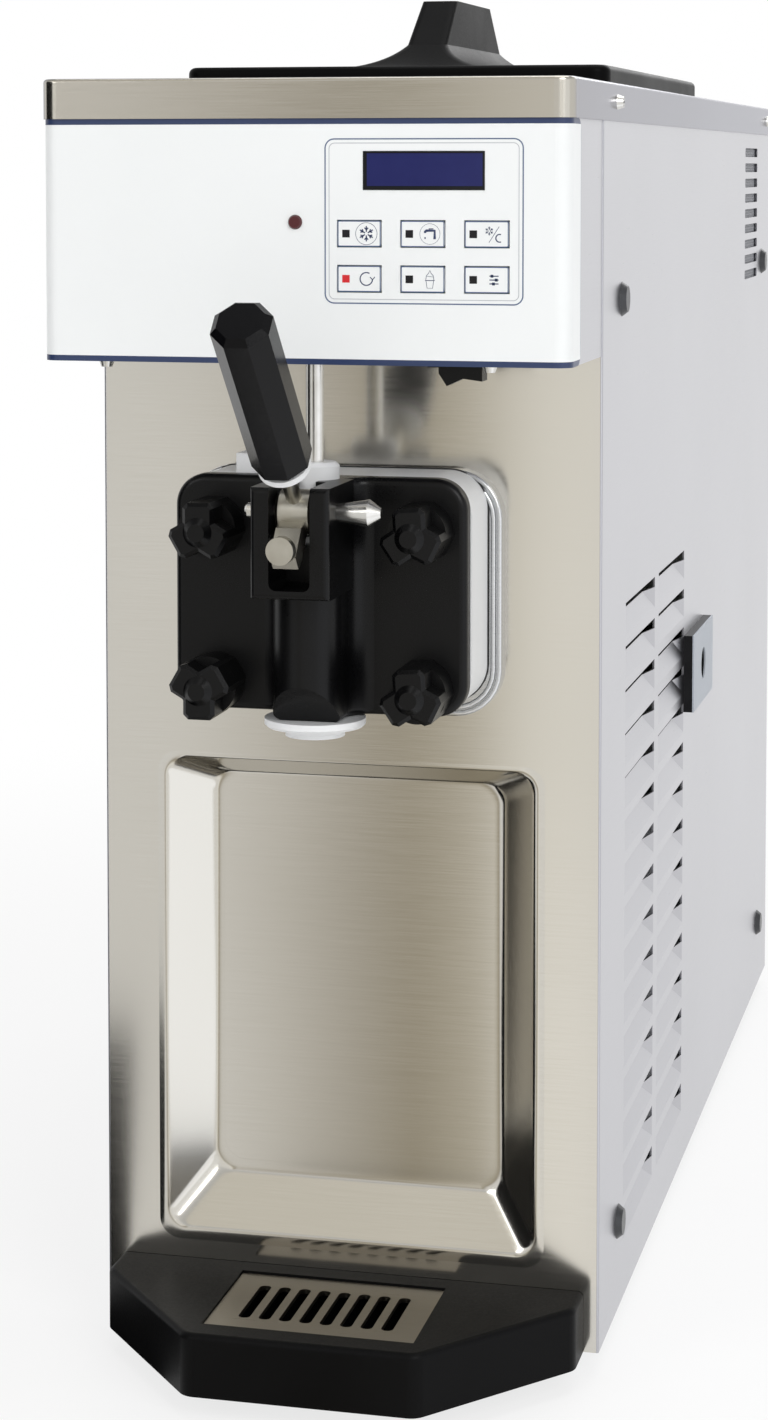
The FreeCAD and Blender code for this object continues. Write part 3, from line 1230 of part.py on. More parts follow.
grip = body("lever_grip")
flat = "grip_flats / 2"
nick = "grip_flats / 2 * tan(grip_facet / 2)"
pad(grip, polygon(sketch(grip, "XY_Plane"), (flat, "-" + nick), (flat, nick), (nick, flat), ("-" + nick,
                                                                                             flat),
                  ("-" + flat, nick), ("-" + flat, "-" + nick), ("-" + nick, "-" + flat), (nick,
                                                                                           "-" + flat)),
    "grip_end - grip_start - ferrule_length")
soften(grip, "Chamfer", "grip_bevel", lambda p, q: same(p.z, q.z))
lean_out(grip, "grip_start + ferrule_length")

pin_end = "door_x - block_half - pin_stub"
pin_start = cone("pin_start", "x", pin_end, "-pin_y", pin_level, "pin_radius - pin_bevel", "pin_radius",
                 "pin_bevel")
pin_shank = rod("pin_shank", "x", pin_end + " + pin_bevel", "-pin_y", pin_level, "pin_radius",
                "pin_stub - pin_bevel + 2 * block_half")
pin_head = cone("pin_head", "x", "door_x + block_half", "-pin_y", pin_level, "pin_head_start",
                "pin_head_end", "pin_head_length")
pin_nose = cone("pin_nose", "x", "door_x + block_half + pin_head_length", "-pin_y", pin_level,
                "pin_head_end", "pin_tip", "pin_tip_length")
keep(join("pivot_pin", pin_start, pin_shank, pin_head, pin_nose))

# Nozzle cap
nozzle_top = "(" + door_foot + " - fit_gap)"
nozzle = body("nozzle_cap")
pad(nozzle, circle(sketch(nozzle, "XY_Plane", nozzle_top + " - nozzle_plate"), "door_x", "-valve_y",
                   "nozzle_radius"), "nozzle_plate")
disc_foot = lying("z", nozzle_top + " - nozzle_plate")
soften(nozzle, "Chamfer", "nozzle_edge", disc_foot)
pad(nozzle, circle(sketch(nozzle, "XY_Plane", nozzle_top + " - nozzle_plate - nozzle_drop"), "door_x",
                   "-valve_y", "nozzle_spout"), "nozzle_drop")
soften(nozzle, "Chamfer", "nozzle_hollow",
       lambda p, q: disc_foot(p, q) and same(p.x, number("door_x + nozzle_spout")))
pocket(nozzle, circle(sketch(nozzle, "XY_Plane", nozzle_top), "door_x", "-valve_y", "nozzle_bore"),
       "nozzle_plate + nozzle_drop")
keep(nozzle)

# Drip tray and grille
tray_rim = "(tray_height - grille_sink)"
tray = body("drip_tray")
pad(tray, polygon(sketch(tray, "XY_Plane"), ("-tray_half", "-fit_gap"), ("-tray_half", "-tray_side"),
                  ("-tray_nose_half", "-tray_depth"), ("tray_nose_half", "-tray_depth"),
                  ("tray_half", "-tray_side"), ("tray_half", "-fit_gap")), "tray_height")
soften(tray, "Fillet", "tray_corner", lambda p, q: upright(p, q) and p.y < number("-tray_side / 2"))
tray_top = lying("z", "tray_height")
soften(tray, "Fillet", "tray_edge", lambda p, q: tray_top(p, q) and min(p.y, q.y) < number("-2 * fit_gap"))
pocket(tray, rect(sketch(tray, "XY_Plane", "tray_height + gauge"), "-grille_half - fit_gap",
                  "-grille_front - fit_gap", "grille_half + fit_gap", "fit_gap - grille_back"),
       "grille_sink + gauge")
pocket(tray, rect(sketch(tray, "XY_Plane", "tray_height + gauge"), "grille_ledge - grille_half",
                  "grille_ledge - grille_front", "grille_half - grille_ledge",
                  "-grille_back - grille_ledge"), "tray_height + gauge - tray_wall")
sockets = sketch(tray, "XZ_Plane")
circle(sockets, "-peg_half_span", "peg_height", "peg_radius + fit_gap")
circle(sockets, "peg_half_span", "peg_height", "peg_radius + fit_gap")
pocket(tray, sockets, "peg_reach + fit_gap", True)
keep(tray)

grille = body("drip_grille")
pad(grille, rect(sketch(grille, "XY_Plane", tray_rim), "-grille_half", "-grille_front", "grille_half",
                 "-grille_back"), "grille_plate")
slot = rounded(sketch(grille, "XY_Plane", tray_rim + " + grille_plate + gauge"),
               "-grille_slot_pitch * %d / 2 - grille_slot / 2" % (GRILLE_SLOTS - 1),
               "-grille_front + grille_slot_inset",
               "-grille_slot_pitch * %d / 2 + grille_slot / 2" % (GRILLE_SLOTS - 1),
               "-grille_back - grille_slot_inset", "grille_slot_corner")
slit = pocket(grille, slot, "grille_plate + 2 * gauge")
rows(grille, [slit], "X_Axis", GRILLE_SLOTS, "grille_slot_pitch * %d" % (GRILLE_SLOTS - 1))
keep(grille)

# Leak drawer
drawer_face = "body_width / 2"
drawer = body("leak_drawer")
pad(drawer, rect(sketch(drawer, "YZ_Plane", drawer_face), "drawer_front", "drawer_low",
                 "drawer_front + drawer_length", "drawer_low + drawer_height"), "drawer_plate")
pad(drawer, rect(sketch(drawer, "YZ_Plane", drawer_face), "drawer_front + drawer_margin",
                 "drawer_low + drawer_margin", "drawer_front + drawer_length - drawer_margin",
                 "drawer_low + drawer_height - drawer_margin"), "drawer_reach", True)
pocket(drawer, rect(sketch(drawer, "XY_Plane", "drawer_low + drawer_height"),
                    drawer_face + " - drawer_reach + drawer_wall",
                    "drawer_front + drawer_margin + drawer_wall", drawer_face + " - drawer_end",
                    "drawer_front + drawer_length - drawer_margin - drawer_wall"),
       "drawer_height - drawer_margin - drawer_wall")
pocket(drawer, circle(sketch(drawer, "YZ_Plane", drawer_face + " + drawer_plate"),
                      "drawer_front + drawer_length / 2", "drawer_low + drawer_height / 2",
                      "drawer_finger"), "drawer_finger_depth")
keep(drawer)

# Power switch, draw switch, plugs and screws
switch_low = "(" + header_low + " - switch_rim)"
housing = body("switch_housing")
pad(housing, rect(sketch(housing, "XY_Plane", switch_low), "switch_x - switch_half_width - switch_rim",
                  "-switch_y - switch_half_depth - switch_rim", "switch_x + switch_half_width + switch_rim",
                  "switch_half_depth + switch_rim - switch_y"), "switch_rim")
pad(housing, rect(sketch(housing, "XY_Plane", header_low), "switch_x - switch_half_width",
                  "-switch_y - switch_half_depth", "switch_x + switch_half_width",
                  "switch_half_depth - switch_y"), "switch_body")
pocket(housing, rect(sketch(housing, "XY_Plane", switch_low), "switch_x - switch_half_width + switch_wall",
                     "switch_wall - switch_y - switch_half_depth",
                     "switch_x + switch_half_width - switch_wall",
                     "switch_half_depth - switch_wall - switch_y"), "switch_body - switch_wall", True)
pocket(housing, circle(sketch(housing, "XZ_Plane", "switch_y + switch_half_depth"), "switch_x",
                       header_low + " + rocker_axle_rise", "rocker_axle + run_gap"),
       "2 * switch_half_depth")
keep(housing)

rocker_half = "(switch_half_width - switch_wall - rocker_gap)"
rocker = body("power_rocker")
pad(rocker, polygon(sketch(rocker, "XZ_Plane", "switch_y - switch_half_depth + switch_wall + fit_gap"),
                    ("switch_x - " + rocker_half, header_low + " + rocker_pivot"),
                    ("switch_x - " + rocker_half, header_low + " - rocker_shoulder"),
                    ("switch_x - rocker_tip", header_low + " - rocker_drop"),
                    ("switch_x + rocker_notch", header_low + " - rocker_valley"),
                    ("switch_x + " + rocker_half, header_low + " - rocker_valley - rocker_notch"),
                    ("switch_x + " + rocker_half, header_low + " + rocker_pivot")),
    "2 * (switch_half_depth - switch_wall - fit_gap)")
pad(rocker, circle(sketch(rocker, "XZ_Plane", "switch_y - switch_half_depth + fit_gap"), "switch_x",
                   header_low + " + rocker_axle_rise", "rocker_axle"), "2 * (switch_half_depth - fit_gap)")
keep(rocker)

micro = box("micro_block", "door_x - micro_half", "board_gauge - board_back",
            header_low + " + rod_rise + micro_gap", "2 * micro_half", "micro_depth", "micro_height")
keep(group("draw_switch", micro))

plugs = []
for side, start, end in ((-1, "plug_face", "plug_radius"), (1, "plug_radius", "plug_face")):
    for y in ("plug_front", "body_depth - plug_rear"):
        for z in ("plug_low", "plug_high"):
            x = "body_width / 2" if side > 0 else "-body_width / 2 - plug_proud"
            plugs.append(cone("plug", "x", x, y, z, start, end, "plug_proud"))
keep(group("side_plugs", *plugs))

screws = []
for x in ("-screw_left", "screw_right"):
    screws.append(cone("pan_screw", "z", x, "-screw_y", header_low + " - pan_proud",
                       "pan_radius - pan_taper", "pan_radius", "pan_proud"))
for side, start, end in ((-1, "pan_radius - pan_taper", "pan_radius"), (1, "pan_radius",
                                                                        "pan_radius - pan_taper")):
    for y in ("cap_screw_y", "body_depth - cap_screw_y"):
        x = cap_half if side > 0 else "-" + cap_half + " - pan_proud"
        screws.append(cone("pan_screw", "x", x, y, "body_height + cap_height / 2", start, end, "pan_proud"))
keep(group("cabinet_screws", *screws))

# Check every object, then write one file per piece
doc.recompute()
for thing in doc.Objects:
    if "Invalid" in thing.State or "Error" in thing.State:
        raise RuntimeError(thing.Label + " did not build")
os.makedirs("parts", exist_ok=True)
for piece in pieces:
    if piece.Shape.isNull() or not piece.Shape.isValid():
        raise RuntimeError(piece.Label + " has no valid shape")
    piece.Shape.exportStep("parts/" + piece.Label + ".step")
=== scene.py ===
import math

import bmesh
import bpy
import numpy as np
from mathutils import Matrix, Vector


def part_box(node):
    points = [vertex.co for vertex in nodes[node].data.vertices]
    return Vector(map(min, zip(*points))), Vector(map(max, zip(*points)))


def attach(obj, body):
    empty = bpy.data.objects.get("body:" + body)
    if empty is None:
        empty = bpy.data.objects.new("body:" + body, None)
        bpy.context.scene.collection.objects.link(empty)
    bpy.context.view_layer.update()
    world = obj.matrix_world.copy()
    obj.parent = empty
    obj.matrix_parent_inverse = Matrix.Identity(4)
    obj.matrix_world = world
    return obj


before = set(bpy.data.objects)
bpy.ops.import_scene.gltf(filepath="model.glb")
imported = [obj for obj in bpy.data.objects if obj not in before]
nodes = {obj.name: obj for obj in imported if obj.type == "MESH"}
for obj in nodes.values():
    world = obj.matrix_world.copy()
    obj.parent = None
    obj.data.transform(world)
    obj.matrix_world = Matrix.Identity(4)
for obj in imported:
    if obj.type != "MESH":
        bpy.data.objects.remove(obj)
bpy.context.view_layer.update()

# The machine's own measures, in millimetres: X to the right seen from the front, Y back from the
# front panel, Z up from the foot of the cabinet panels. One function puts them into the frame.
MM = 0.001
DATUM = np.array([0.0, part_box("door_flange")[1].y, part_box("base_pan")[0].z])


def span(node):
    """A node's lowest and highest corners in the machine's own millimetres."""
    return [(np.array(corner) - DATUM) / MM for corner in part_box(node)]


# Meshes


def skin(grid, round_u=False, round_v=False, capped=False):
    """Points and faces of a grid: four neighbours make a face, the last row or column joins the first
    where the grid is round, and a cap closes the first and the last row."""
    rows, columns = grid.shape[:2]
    index = np.arange(rows * columns).reshape(rows, columns)
    ends = [index[0, ::-1].tolist(), index[-1].tolist()] if capped else []
    if round_u:
        index = np.vstack([index, index[:1]])
    if round_v:
        index = np.hstack([index, index[:, :1]])
    corners = (index[:-1, :-1], index[1:, :-1], index[1:, 1:], index[:-1, 1:])
    return grid.reshape(-1, 3), np.stack(corners, -1).reshape(-1, 4).tolist() + ends


def piece(name, skins, finish, body, smooth=None):
    """One object from several skins, in the frame's metres: doubles merged, faces outwards, the finish on
    it and the body that it rides on. Edges under the smooth angle, in degrees, are shaded round."""
    count = np.cumsum([0] + [len(points) for points, faces in skins])
    points = np.vstack([points for points, faces in skins]) * MM + DATUM
    faces = [[c + start for c in face] for start, (_, some) in zip(count, skins) for face in some]
    mesh = bpy.data.meshes.new(name)
    mesh.from_pydata(points.tolist(), [], faces)
    work = bmesh.new()
    work.from_mesh(mesh)
    bmesh.ops.remove_doubles(work, verts=work.verts, dist=1e-7)
    bmesh.ops.recalc_face_normals(work, faces=work.faces)
    work.to_mesh(mesh)
    work.free()
    if smooth:
        mesh.shade_smooth()
        mesh.set_sharp_from_angle(angle=math.radians(smooth))
    made = bpy.data.objects.new(name, mesh)
    bpy.context.scene.collection.objects.link(made)
    mesh.materials.append(finish)
    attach(made, body)


# Materials


def linear(code):
    """An sRGB hex colour as linear RGBA: c / 12.92 up to 0.04045, and above that
    ((c + 0.055) / 1.055) ** 2.4."""
    c = np.array([int(code[i:i + 2], 16) for i in (0, 2, 4)]) / 255
    return (*np.where(c <= 0.04045, c / 12.92, ((c + 0.055) / 1.055) ** 2.4).tolist(), 1.0)


def per_mm(size):
    """Texture scale of a pattern that repeats every so many millimetres."""
    return 1 / (size * MM)


def waves(size):
    """Scale of a wave texture whose waves are so many millimetres apart. At a scale of 1 it turns by
    20 radians over a unit, so a wave takes 2 pi / 20 of it."""
    return per_mm(size) * math.tau / 20


def feed(tree, node, inputs):
    """Sets a node's inputs: each to a value, or from the output that feeds it."""
    for key, value in inputs.items():
        if isinstance(value, bpy.types.NodeSocket):
            tree.links.new(value, node.inputs[key])
        else:
            node.inputs[key].default_value = value


def add(tree, kind, inputs=None, **settings):
    """One node with its settings and its inputs."""
    made = tree.nodes.new(kind)
    for name, value in settings.items():
        setattr(made, name, value)
    feed(tree, made, inputs or {})
    return made


def start(name, **sockets):
    """A new material: its node tree, its surface shader with constant sockets, and its Object
    coordinates."""
    made = bpy.data.materials.new(name)
    made.use_nodes = True
    tree = made.node_tree
    shader = tree.nodes["Principled BSDF"]
    feed(tree, shader, {key.replace("_", " ").title().replace("Ior", "IOR"): value
                        for key, value in sockets.items()})
    return made, tree, shader, add(tree, "ShaderNodeTexCoord").outputs["Object"]


def noise(tree, where, size, detail, rough=0.5):
    """A noise with spots so many millimetres across."""
    return add(tree, "ShaderNodeTexNoise", {"Vector": where, "Scale": per_mm(size), "Detail": detail,
                                            "Roughness": rough}).outputs["Fac"]


def blend(tree, share, one, two):
    """A colour between two, each an sRGB hex code or the output that feeds it."""
    one, two = (linear(tone) if isinstance(tone, str) else tone for tone in (one, two))
    return add(tree, "ShaderNodeMixRGB", {"Fac": share, "Color1": one, "Color2": two}).outputs[0]


def work_out(tree, operation, *values):
    """The result of one operation on values or outputs."""
    return add(tree, "ShaderNodeMath", dict(enumerate(values)), operation=operation).outputs[0]


def spread(tree, value, low, high, first=0.0, last=1.0):
    """A value that runs from first to last, carried over to the range from low to high."""
    return add(tree, "ShaderNodeMapRange", {"Value": value, "From Min": first, "From Max": last,
                                            "To Min": low, "To Max": high}).outputs[0]


def bump(tree, height, strength, depth):
    """The normal of a surface that a pattern raises by so many millimetres."""
    return add(tree, "ShaderNodeBump", {"Strength": strength, "Distance": depth * MM,
                                        "Height": height}).outputs[0]


def belt_steel(name, shade, light, along, across, rough, **sockets):
    """Stainless sheet, ground on a belt. Scratches run one way, so tone and gloss follow a noise that is
    stretched along the belt and fine across it, over a slow cloudiness of the sheet. Reflections are
    drawn out across the scratches."""
    made, tree, shader, where = start(name, metallic=1.0, anisotropic=0.7, **sockets)
    # belt scratches are about 0.05 mm apart, drawn 0.35 mm apart so that they show
    grain = [per_mm(0.35)] * 3
    grain[along] = per_mm(25)
    stretched = add(tree, "ShaderNodeMapping", {"Vector": where, "Scale": grain}).outputs[0]
    scratch = add(tree, "ShaderNodeTexNoise", {"Vector": stretched, "Scale": 1.0, "Detail": 4.0,
                                               "Roughness": 0.6}).outputs["Fac"]
    both = work_out(tree, "MULTIPLY", scratch, noise(tree, where, 170, 2.0))
    tone = spread(tree, both, 0.0, 1.0, 0.1, 0.4)
    feed(tree, shader, {"Base Color": blend(tree, tone, shade, light),
                        "Roughness": spread(tree, scratch, rough - 0.03, rough + 0.04, 0.25, 0.75),
                        "Normal": bump(tree, scratch, 0.04, 0.02),
                        "Tangent": add(tree, "ShaderNodeCombineXYZ", {across: 1.0}).outputs[0]})
    return made


def turned_steel(name, shade, light, axis, rough):
    """Stainless bar, turned in a lathe: rings round the axis, as waves along it, under a light polish."""
    made, tree, shader, where = start(name, metallic=1.0)
    # tool rings are about 0.1 mm apart, drawn 0.6 mm apart so that they show
    cuts = add(tree, "ShaderNodeTexWave", {"Vector": where, "Scale": waves(0.6), "Distortion": 1.5,
                                           "Detail": 2.0}, bands_direction=axis).outputs["Fac"]
    cloud = noise(tree, where, 6, 3.0)
    feed(tree, shader, {"Base Color": blend(tree, cloud, shade, light),
                        "Roughness": spread(tree, cloud, rough - 0.06, rough + 0.08),
                        "Normal": bump(tree, cuts, 0.08, 0.01)})
    return made


def moulded(name, shade, light, rough, grain, depth, **sockets):
    """Moulded plastic or rubber: an etched tool leaves a fine even grain, and the flow of the melt a slow
    change of tone and gloss."""
    made, tree, shader, where = start(name, **sockets)
    pits = noise(tree, where, grain, 3.0, 0.6)
    flow = noise(tree, where, 45, 3.0)
    both = work_out(tree, "MULTIPLY", pits, flow)
    feed(tree, shader, {"Base Color": blend(tree, flow, shade, light),
                        "Roughness": spread(tree, both, rough - 0.05, rough + 0.06, 0.1, 0.4),
                        "Normal": bump(tree, pits, 0.35, depth)})
    return made


def spangled_zinc(name):
    """Hot-dip galvanised sheet: zinc crystals some 9 mm across, each with its own tone and gloss."""
    made, tree, shader, where = start(name, metallic=1.0)
    crystal = add(tree, "ShaderNodeTexVoronoi", {"Vector": where, "Scale": per_mm(9)}).outputs["Color"]
    one = add(tree, "ShaderNodeSeparateXYZ", {"Vector": crystal}).outputs["X"]
    feed(tree, shader, {"Base Color": blend(tree, one, "9A9FA2", "C2C6C8"),
                        "Roughness": spread(tree, one, 0.32, 0.5)})
    return made


def printed_film(name, low, high, band):
    """Polyester overlay film: white, printed from behind, with a navy band along its foot and its head
    and a grey-blue line along its two ends. A velvet grain on the face breaks up reflections."""
    made, tree, shader, where = start(name, ior=1.5, roughness=0.35)
    place = add(tree, "ShaderNodeSeparateXYZ", {"Vector": where}).outputs
    foot = work_out(tree, "LESS_THAN", place["Z"], (low[2] + band) * MM + DATUM[2])
    head = work_out(tree, "GREATER_THAN", place["Z"], (high[2] - band) * MM + DATUM[2])
    ends = work_out(tree, "GREATER_THAN", place["Y"], (high[1] - band / 3) * MM + DATUM[1])
    white = blend(tree, noise(tree, where, 60, 2.0), "F0F2F2", "F5F7F7")
    lined = blend(tree, ends, white, "8C93A2")
    inked = blend(tree, work_out(tree, "MAXIMUM", foot, head), lined, "26365C")
    velvet = noise(tree, where, 0.5, 2.0)
    feed(tree, shader, {"Base Color": inked, "Normal": bump(tree, velvet, 0.1, 0.01)})
    return made


def display_glass(name, low, high, near, far):
    """Smoked window of a blue display, switched off: a black mask round the edge, wider on the left and at
    the foot than on the right and at the head, and a faintly cloudy navy field inside it."""
    made, tree, shader, where = start(name, roughness=0.12, specular_ior_level=0.25)
    place = add(tree, "ShaderNodeSeparateXYZ", {"Vector": where}).outputs
    inside = []
    for axis, k in (("X", 0), ("Z", 2)):
        first = (low[k] + near) * MM + DATUM[k]
        last = (high[k] - far) * MM + DATUM[k]
        inside.append(work_out(tree, "COMPARE", place[axis], (first + last) / 2, (last - first) / 2))
    field = work_out(tree, "MULTIPLY", *inside)
    blue = blend(tree, noise(tree, where, 8, 4.0), "1D2158", "242961")
    feed(tree, shader, {"Base Color": blend(tree, field, "131519", blue)})
    return made


def two_ply(name, level):
    """Two-ply laminate: a thin grey-blue face over a black core, which shows on the edges and in holes."""
    made, tree, shader, where = start(name, roughness=0.42, specular_ior_level=0.15)
    across = add(tree, "ShaderNodeSeparateXYZ", {"Vector": where}).outputs["X"]
    face = work_out(tree, "GREATER_THAN", across, level * MM + DATUM[0])
    grey = blend(tree, noise(tree, where, 20, 3.0), "AEB4BC", "B6BBC3")
    feed(tree, shader, {"Base Color": blend(tree, face, "141416", grey)})
    return made


def woven_wire(name, pitch):
    """Woven screen: two sets of grey wires at a pitch, square to each other, on a solid sheet whose gaps
    between the wires are painted dark as the shade behind the screen.
    """
    made, tree, shader, where = start(name, roughness=0.5)
    sets = [add(tree, "ShaderNodeTexWave", {"Vector": where, "Scale": waves(pitch)},
                bands_direction=axis).outputs["Fac"] for axis in "YZ"]
    wire = work_out(tree, "MAXIMUM", *sets)
    feed(tree, shader, {"Base Color": blend(tree, wire, "55575C", "84868D"),
                        "Normal": bump(tree, wire, 0.6, 0.3)})
    return made


def finned_pack(name, pitch):
    """Condenser coil: aluminium fins at a pitch, with a painted highlight on their edges and painted shade
    between them.
    """
    made, tree, shader, where = start(name, metallic=1.0, roughness=0.4)
    fins = add(tree, "ShaderNodeTexWave", {"Vector": where, "Scale": waves(pitch)},
               bands_direction="X").outputs["Fac"]
    feed(tree, shader, {"Base Color": blend(tree, fins, "3A3C3E", "C9CCCE"),
                        "Normal": bump(tree, fins, 0.8, 0.5)})
    return made


overlay_low, overlay_high = span("control_overlay")
window_low, window_high = span("display_window")
drawer_face = span("leak_drawer")[1][0]
BAND = 2.3
FILM = 0.8
# One belt-ground stainless in face-by-face tones: the front's warm tint, the sides' darker cool tone, the
# cap's darker warm face with its bluish edge tint and the grille's dark warm tone are painted reflection
# and painted shade.
front_steel = belt_steel("belt_ground_stainless_front", "CCC9C1", "D3D0C9", 0, "Z", 0.13)
side_steel = belt_steel("belt_ground_stainless_sides", "B2B2B7", "B9B9BE", 1, "Z", 0.3)
cap_steel = belt_steel("belt_ground_stainless_cover", "BAB6AC", "C2BEB5", 0, "Z", 0.2,
                       specular_tint=linear("D6D8E2"))
food_steel = belt_steel("satin_stainless_food_grade", "BFC0C1", "D2D3D4", 0, "Z", 0.24)
grille_steel = belt_steel("belt_ground_stainless_grille", "8B857A", "969085", 0, "Y", 0.3)
bar_steel = turned_steel("turned_stainless", "C4C2BC", "E2E1DE", "X", 0.22)
lever_steel = turned_steel("satin_turned_stainless", "A8A499", "BFBCB3", "X", 0.3)
black_abs = moulded("black_abs_etched", "060607", "09090A", 0.3, 0.9, 0.02, specular_ior_level=0.2)
gloss_abs = moulded("black_abs_polished", "08080A", "0C0C0E", 0.16, 1.2, 0.004, specular_ior_level=0.14)
tray_abs = moulded("black_abs_tray", "080809", "0C0C0D", 0.4, 1.1, 0.03, specular_ior_level=0.08)
lid_abs = moulded("black_abs_lid", "070707", "0B0B0C", 0.38, 1.0, 0.03, specular_ior_level=0.04)
acetal = moulded("white_acetal_moulded", "E8E9EA", "EFF0F1", 0.38, 1.5, 0.008)
dark_nylon = moulded("dark_nylon_plug", "2A2B2E", "37393C", 0.36, 0.8, 0.012)
rubber = moulded("black_rubber_moulded", "141414", "1E1E1E", 0.7, 0.7, 0.04)
enamel = moulded("black_enamel_sprayed", "131315", "1C1C1F", 0.3, 2.5, 0.02)
cast_alloy = moulded("cast_aluminium_sandblasted", "8C8D8E", "A3A4A6", 0.5, 0.8, 0.05, metallic=1.0)
foam = moulded("closed_cell_foam", "E2D6B2", "EFE6C8", 0.85, 2.0, 0.3)
solder_mask = moulded("green_solder_mask", "0F5A2A", "17703A", 0.3, 3.0, 0.01)
zinc = spangled_zinc("galvanised_sheet")
film = printed_film("printed_polyester_film", overlay_low, overlay_high, BAND)
key_film = moulded("polyester_key_film", "F0F2F2", "F5F7F7", 0.35, 0.5, 0.01)
lcd = display_glass("smoked_display_window", window_low, window_high, 1.6, 0.9)
laminate = two_ply("two_ply_laminate", drawer_face - FILM)
screen = woven_wire("woven_steel_screen", 1.6)
coil = finned_pack("finned_aluminium_coil", 2)
red_lens = moulded("dark_red_lens", "451A1F", "572126", 0.12, 2.0, 0.004)
lamp_off = moulded("smoked_lamp_window", "17171A", "202024", 0.15, 1.5, 0.004, specular_ior_level=0.25)
# the restart key's lamp window is switched on: its glow is painted as a bright red colour, with no light of
# its own
lit_lamp = moulded("lit_lamp_window_painted_glow", "D3222A", "DF2D34", 0.2, 1.5, 0.004)
navy_ink = moulded("navy_screen_ink", "4A5C7E", "536688", 0.45, 0.6, 0.004)
grey_ink = moulded("grey_screen_ink", "B4B6BC", "BFC1C6", 0.45, 0.6, 0.004)
dark_ink = moulded("dark_screen_ink", "22335A", "2A3B62", 0.45, 0.6, 0.004)

FINISHES = {
    front_steel: ["front_panel"],
    side_steel: ["left_side_panel", "right_side_panel", "rear_panel", "header_shell"],
    cap_steel: ["top_cover"],
    food_steel: ["hopper", "freezing_cylinder", "beater", "drive_shaft", "door_flange", "door_studs",
                 "tray_pegs"],
    grille_steel: ["drip_grille"],
    bar_steel: ["switch_rod", "pivot_pin", "cabinet_screws"],
    lever_steel: ["draw_lever", "adjusting_screw"],
    black_abs: ["door_cover", "knob_1", "knob_2", "knob_3", "knob_4", "switch_housing", "power_rocker",
                "draw_switch", "condenser_fan", "power_inlet"],
    gloss_abs: ["lever_grip"],
    tray_abs: ["drip_tray"],
    lid_abs: ["hopper_lid"],
    acetal: ["door_body", "draw_valve", "grip_ferrule", "nozzle_cap", "air_tube"],
    laminate: ["leak_drawer"],
    dark_nylon: ["side_plugs"],
    rubber: ["rubber_feet", "shaft_seal"],
    enamel: ["drive_motor", "compressor", "fan_motor"],
    cast_alloy: ["gear_reducer"],
    foam: ["insulation_jacket"],
    solder_mask: ["control_board"],
    zinc: ["base_pan", "support_frame"],
    film: ["control_overlay"],
    key_film: ["key_1", "key_2", "key_3", "key_4", "key_5", "key_6"],
    lcd: ["display_window"],
    coil: ["condenser"],
    red_lens: ["indicator_lens"],
}
for finish, names in FINISHES.items():
    for name in names:
        nodes[name].data.materials.clear()
        nodes[name].data.materials.append(finish)


# Printing on the overlay and the keys: flat shapes in X and Z, a few hundredths proud of what carries them
INK = 0.05


def loop(half_x, half_z, corner, steps=8):
    """A round-cornered rectangle about the origin: a quarter circle at each corner, in one closed line."""
    turn = np.linspace(0, np.pi / 2, steps)
    quarters = []
    for k, (sx, sz) in enumerate(((1, 1), (-1, 1), (-1, -1), (1, -1))):
        angle = turn + k * np.pi / 2
        middle = np.array([sx * (half_x - corner), sz * (half_z - corner)])
        quarters.append(middle + corner * np.stack([np.cos(angle), np.sin(angle)], 1))
    return np.vstack(quarters)


def arc(radius, first=0.0, last=360.0, steps=40):
    """Points of a circle about the origin between two angles, in degrees."""
    angle = np.radians(np.linspace(first, last, steps))
    return radius * np.stack([np.cos(angle), np.sin(angle)], 1)


def pen(line, width, closed=False):
    """A pen line: every point of the line moved half the width to either side, square to the line there."""
    line = np.asarray(line, float)
    if closed:
        run = np.roll(line, -1, 0) - np.roll(line, 1, 0)
    else:
        run = np.gradient(line, axis=0)
    side = np.stack([-run[:, 1], run[:, 0]], 1)
    side *= width / 2 / np.linalg.norm(side, axis=1, keepdims=True)
    return line + side, line - side, closed


def relief(shape, at, level, facing=1):
    """A flat shape raised by the ink's thickness: its two edges, near and far, carried along it. With a
    facing of 1 it stands on a face towards -Y. With 0 it stands on a side, towards -X or +X by the sign
    of the level."""
    one, two, closed = shape
    proud = level - INK if facing else level + math.copysign(INK, level)
    lines = [np.insert(edge + at, facing, depth, axis=1)
             for edge, depth in ((one, proud), (two, proud), (two, level), (one, level))]
    return skin(np.stack(lines, 1), round_u=closed, round_v=True, capped=not closed)


def square(half):
    """A filled square: its left and right sides as the two edges."""
    rise = np.array([-half, half])
    return np.stack([rise * 0 - half, rise], 1), np.stack([rise * 0 + half, rise], 1), False


def snowflake(size):
    """Six arms at 60 degrees from a small open centre, each with a pair of barbs near its tip."""
    shapes = []
    for turn in np.radians(np.arange(6) * 60 + 90):
        spin = np.array([[np.cos(turn), np.sin(turn)], [-np.sin(turn), np.cos(turn)]])
        shapes.append(pen(np.array([[0.22, 0], [1, 0]]) * size @ spin, 0.16 * size))
        for side in (-1, 1):
            barb = np.array([[0.5, 0], [0.78, 0.24 * side]]) * size
            shapes.append(pen(barb @ spin, 0.15 * size))
    return shapes


def moved(shapes, x, z):
    """The same shapes, shifted."""
    return [(one + (x, z), two + (x, z), closed) for one, two, closed in shapes]


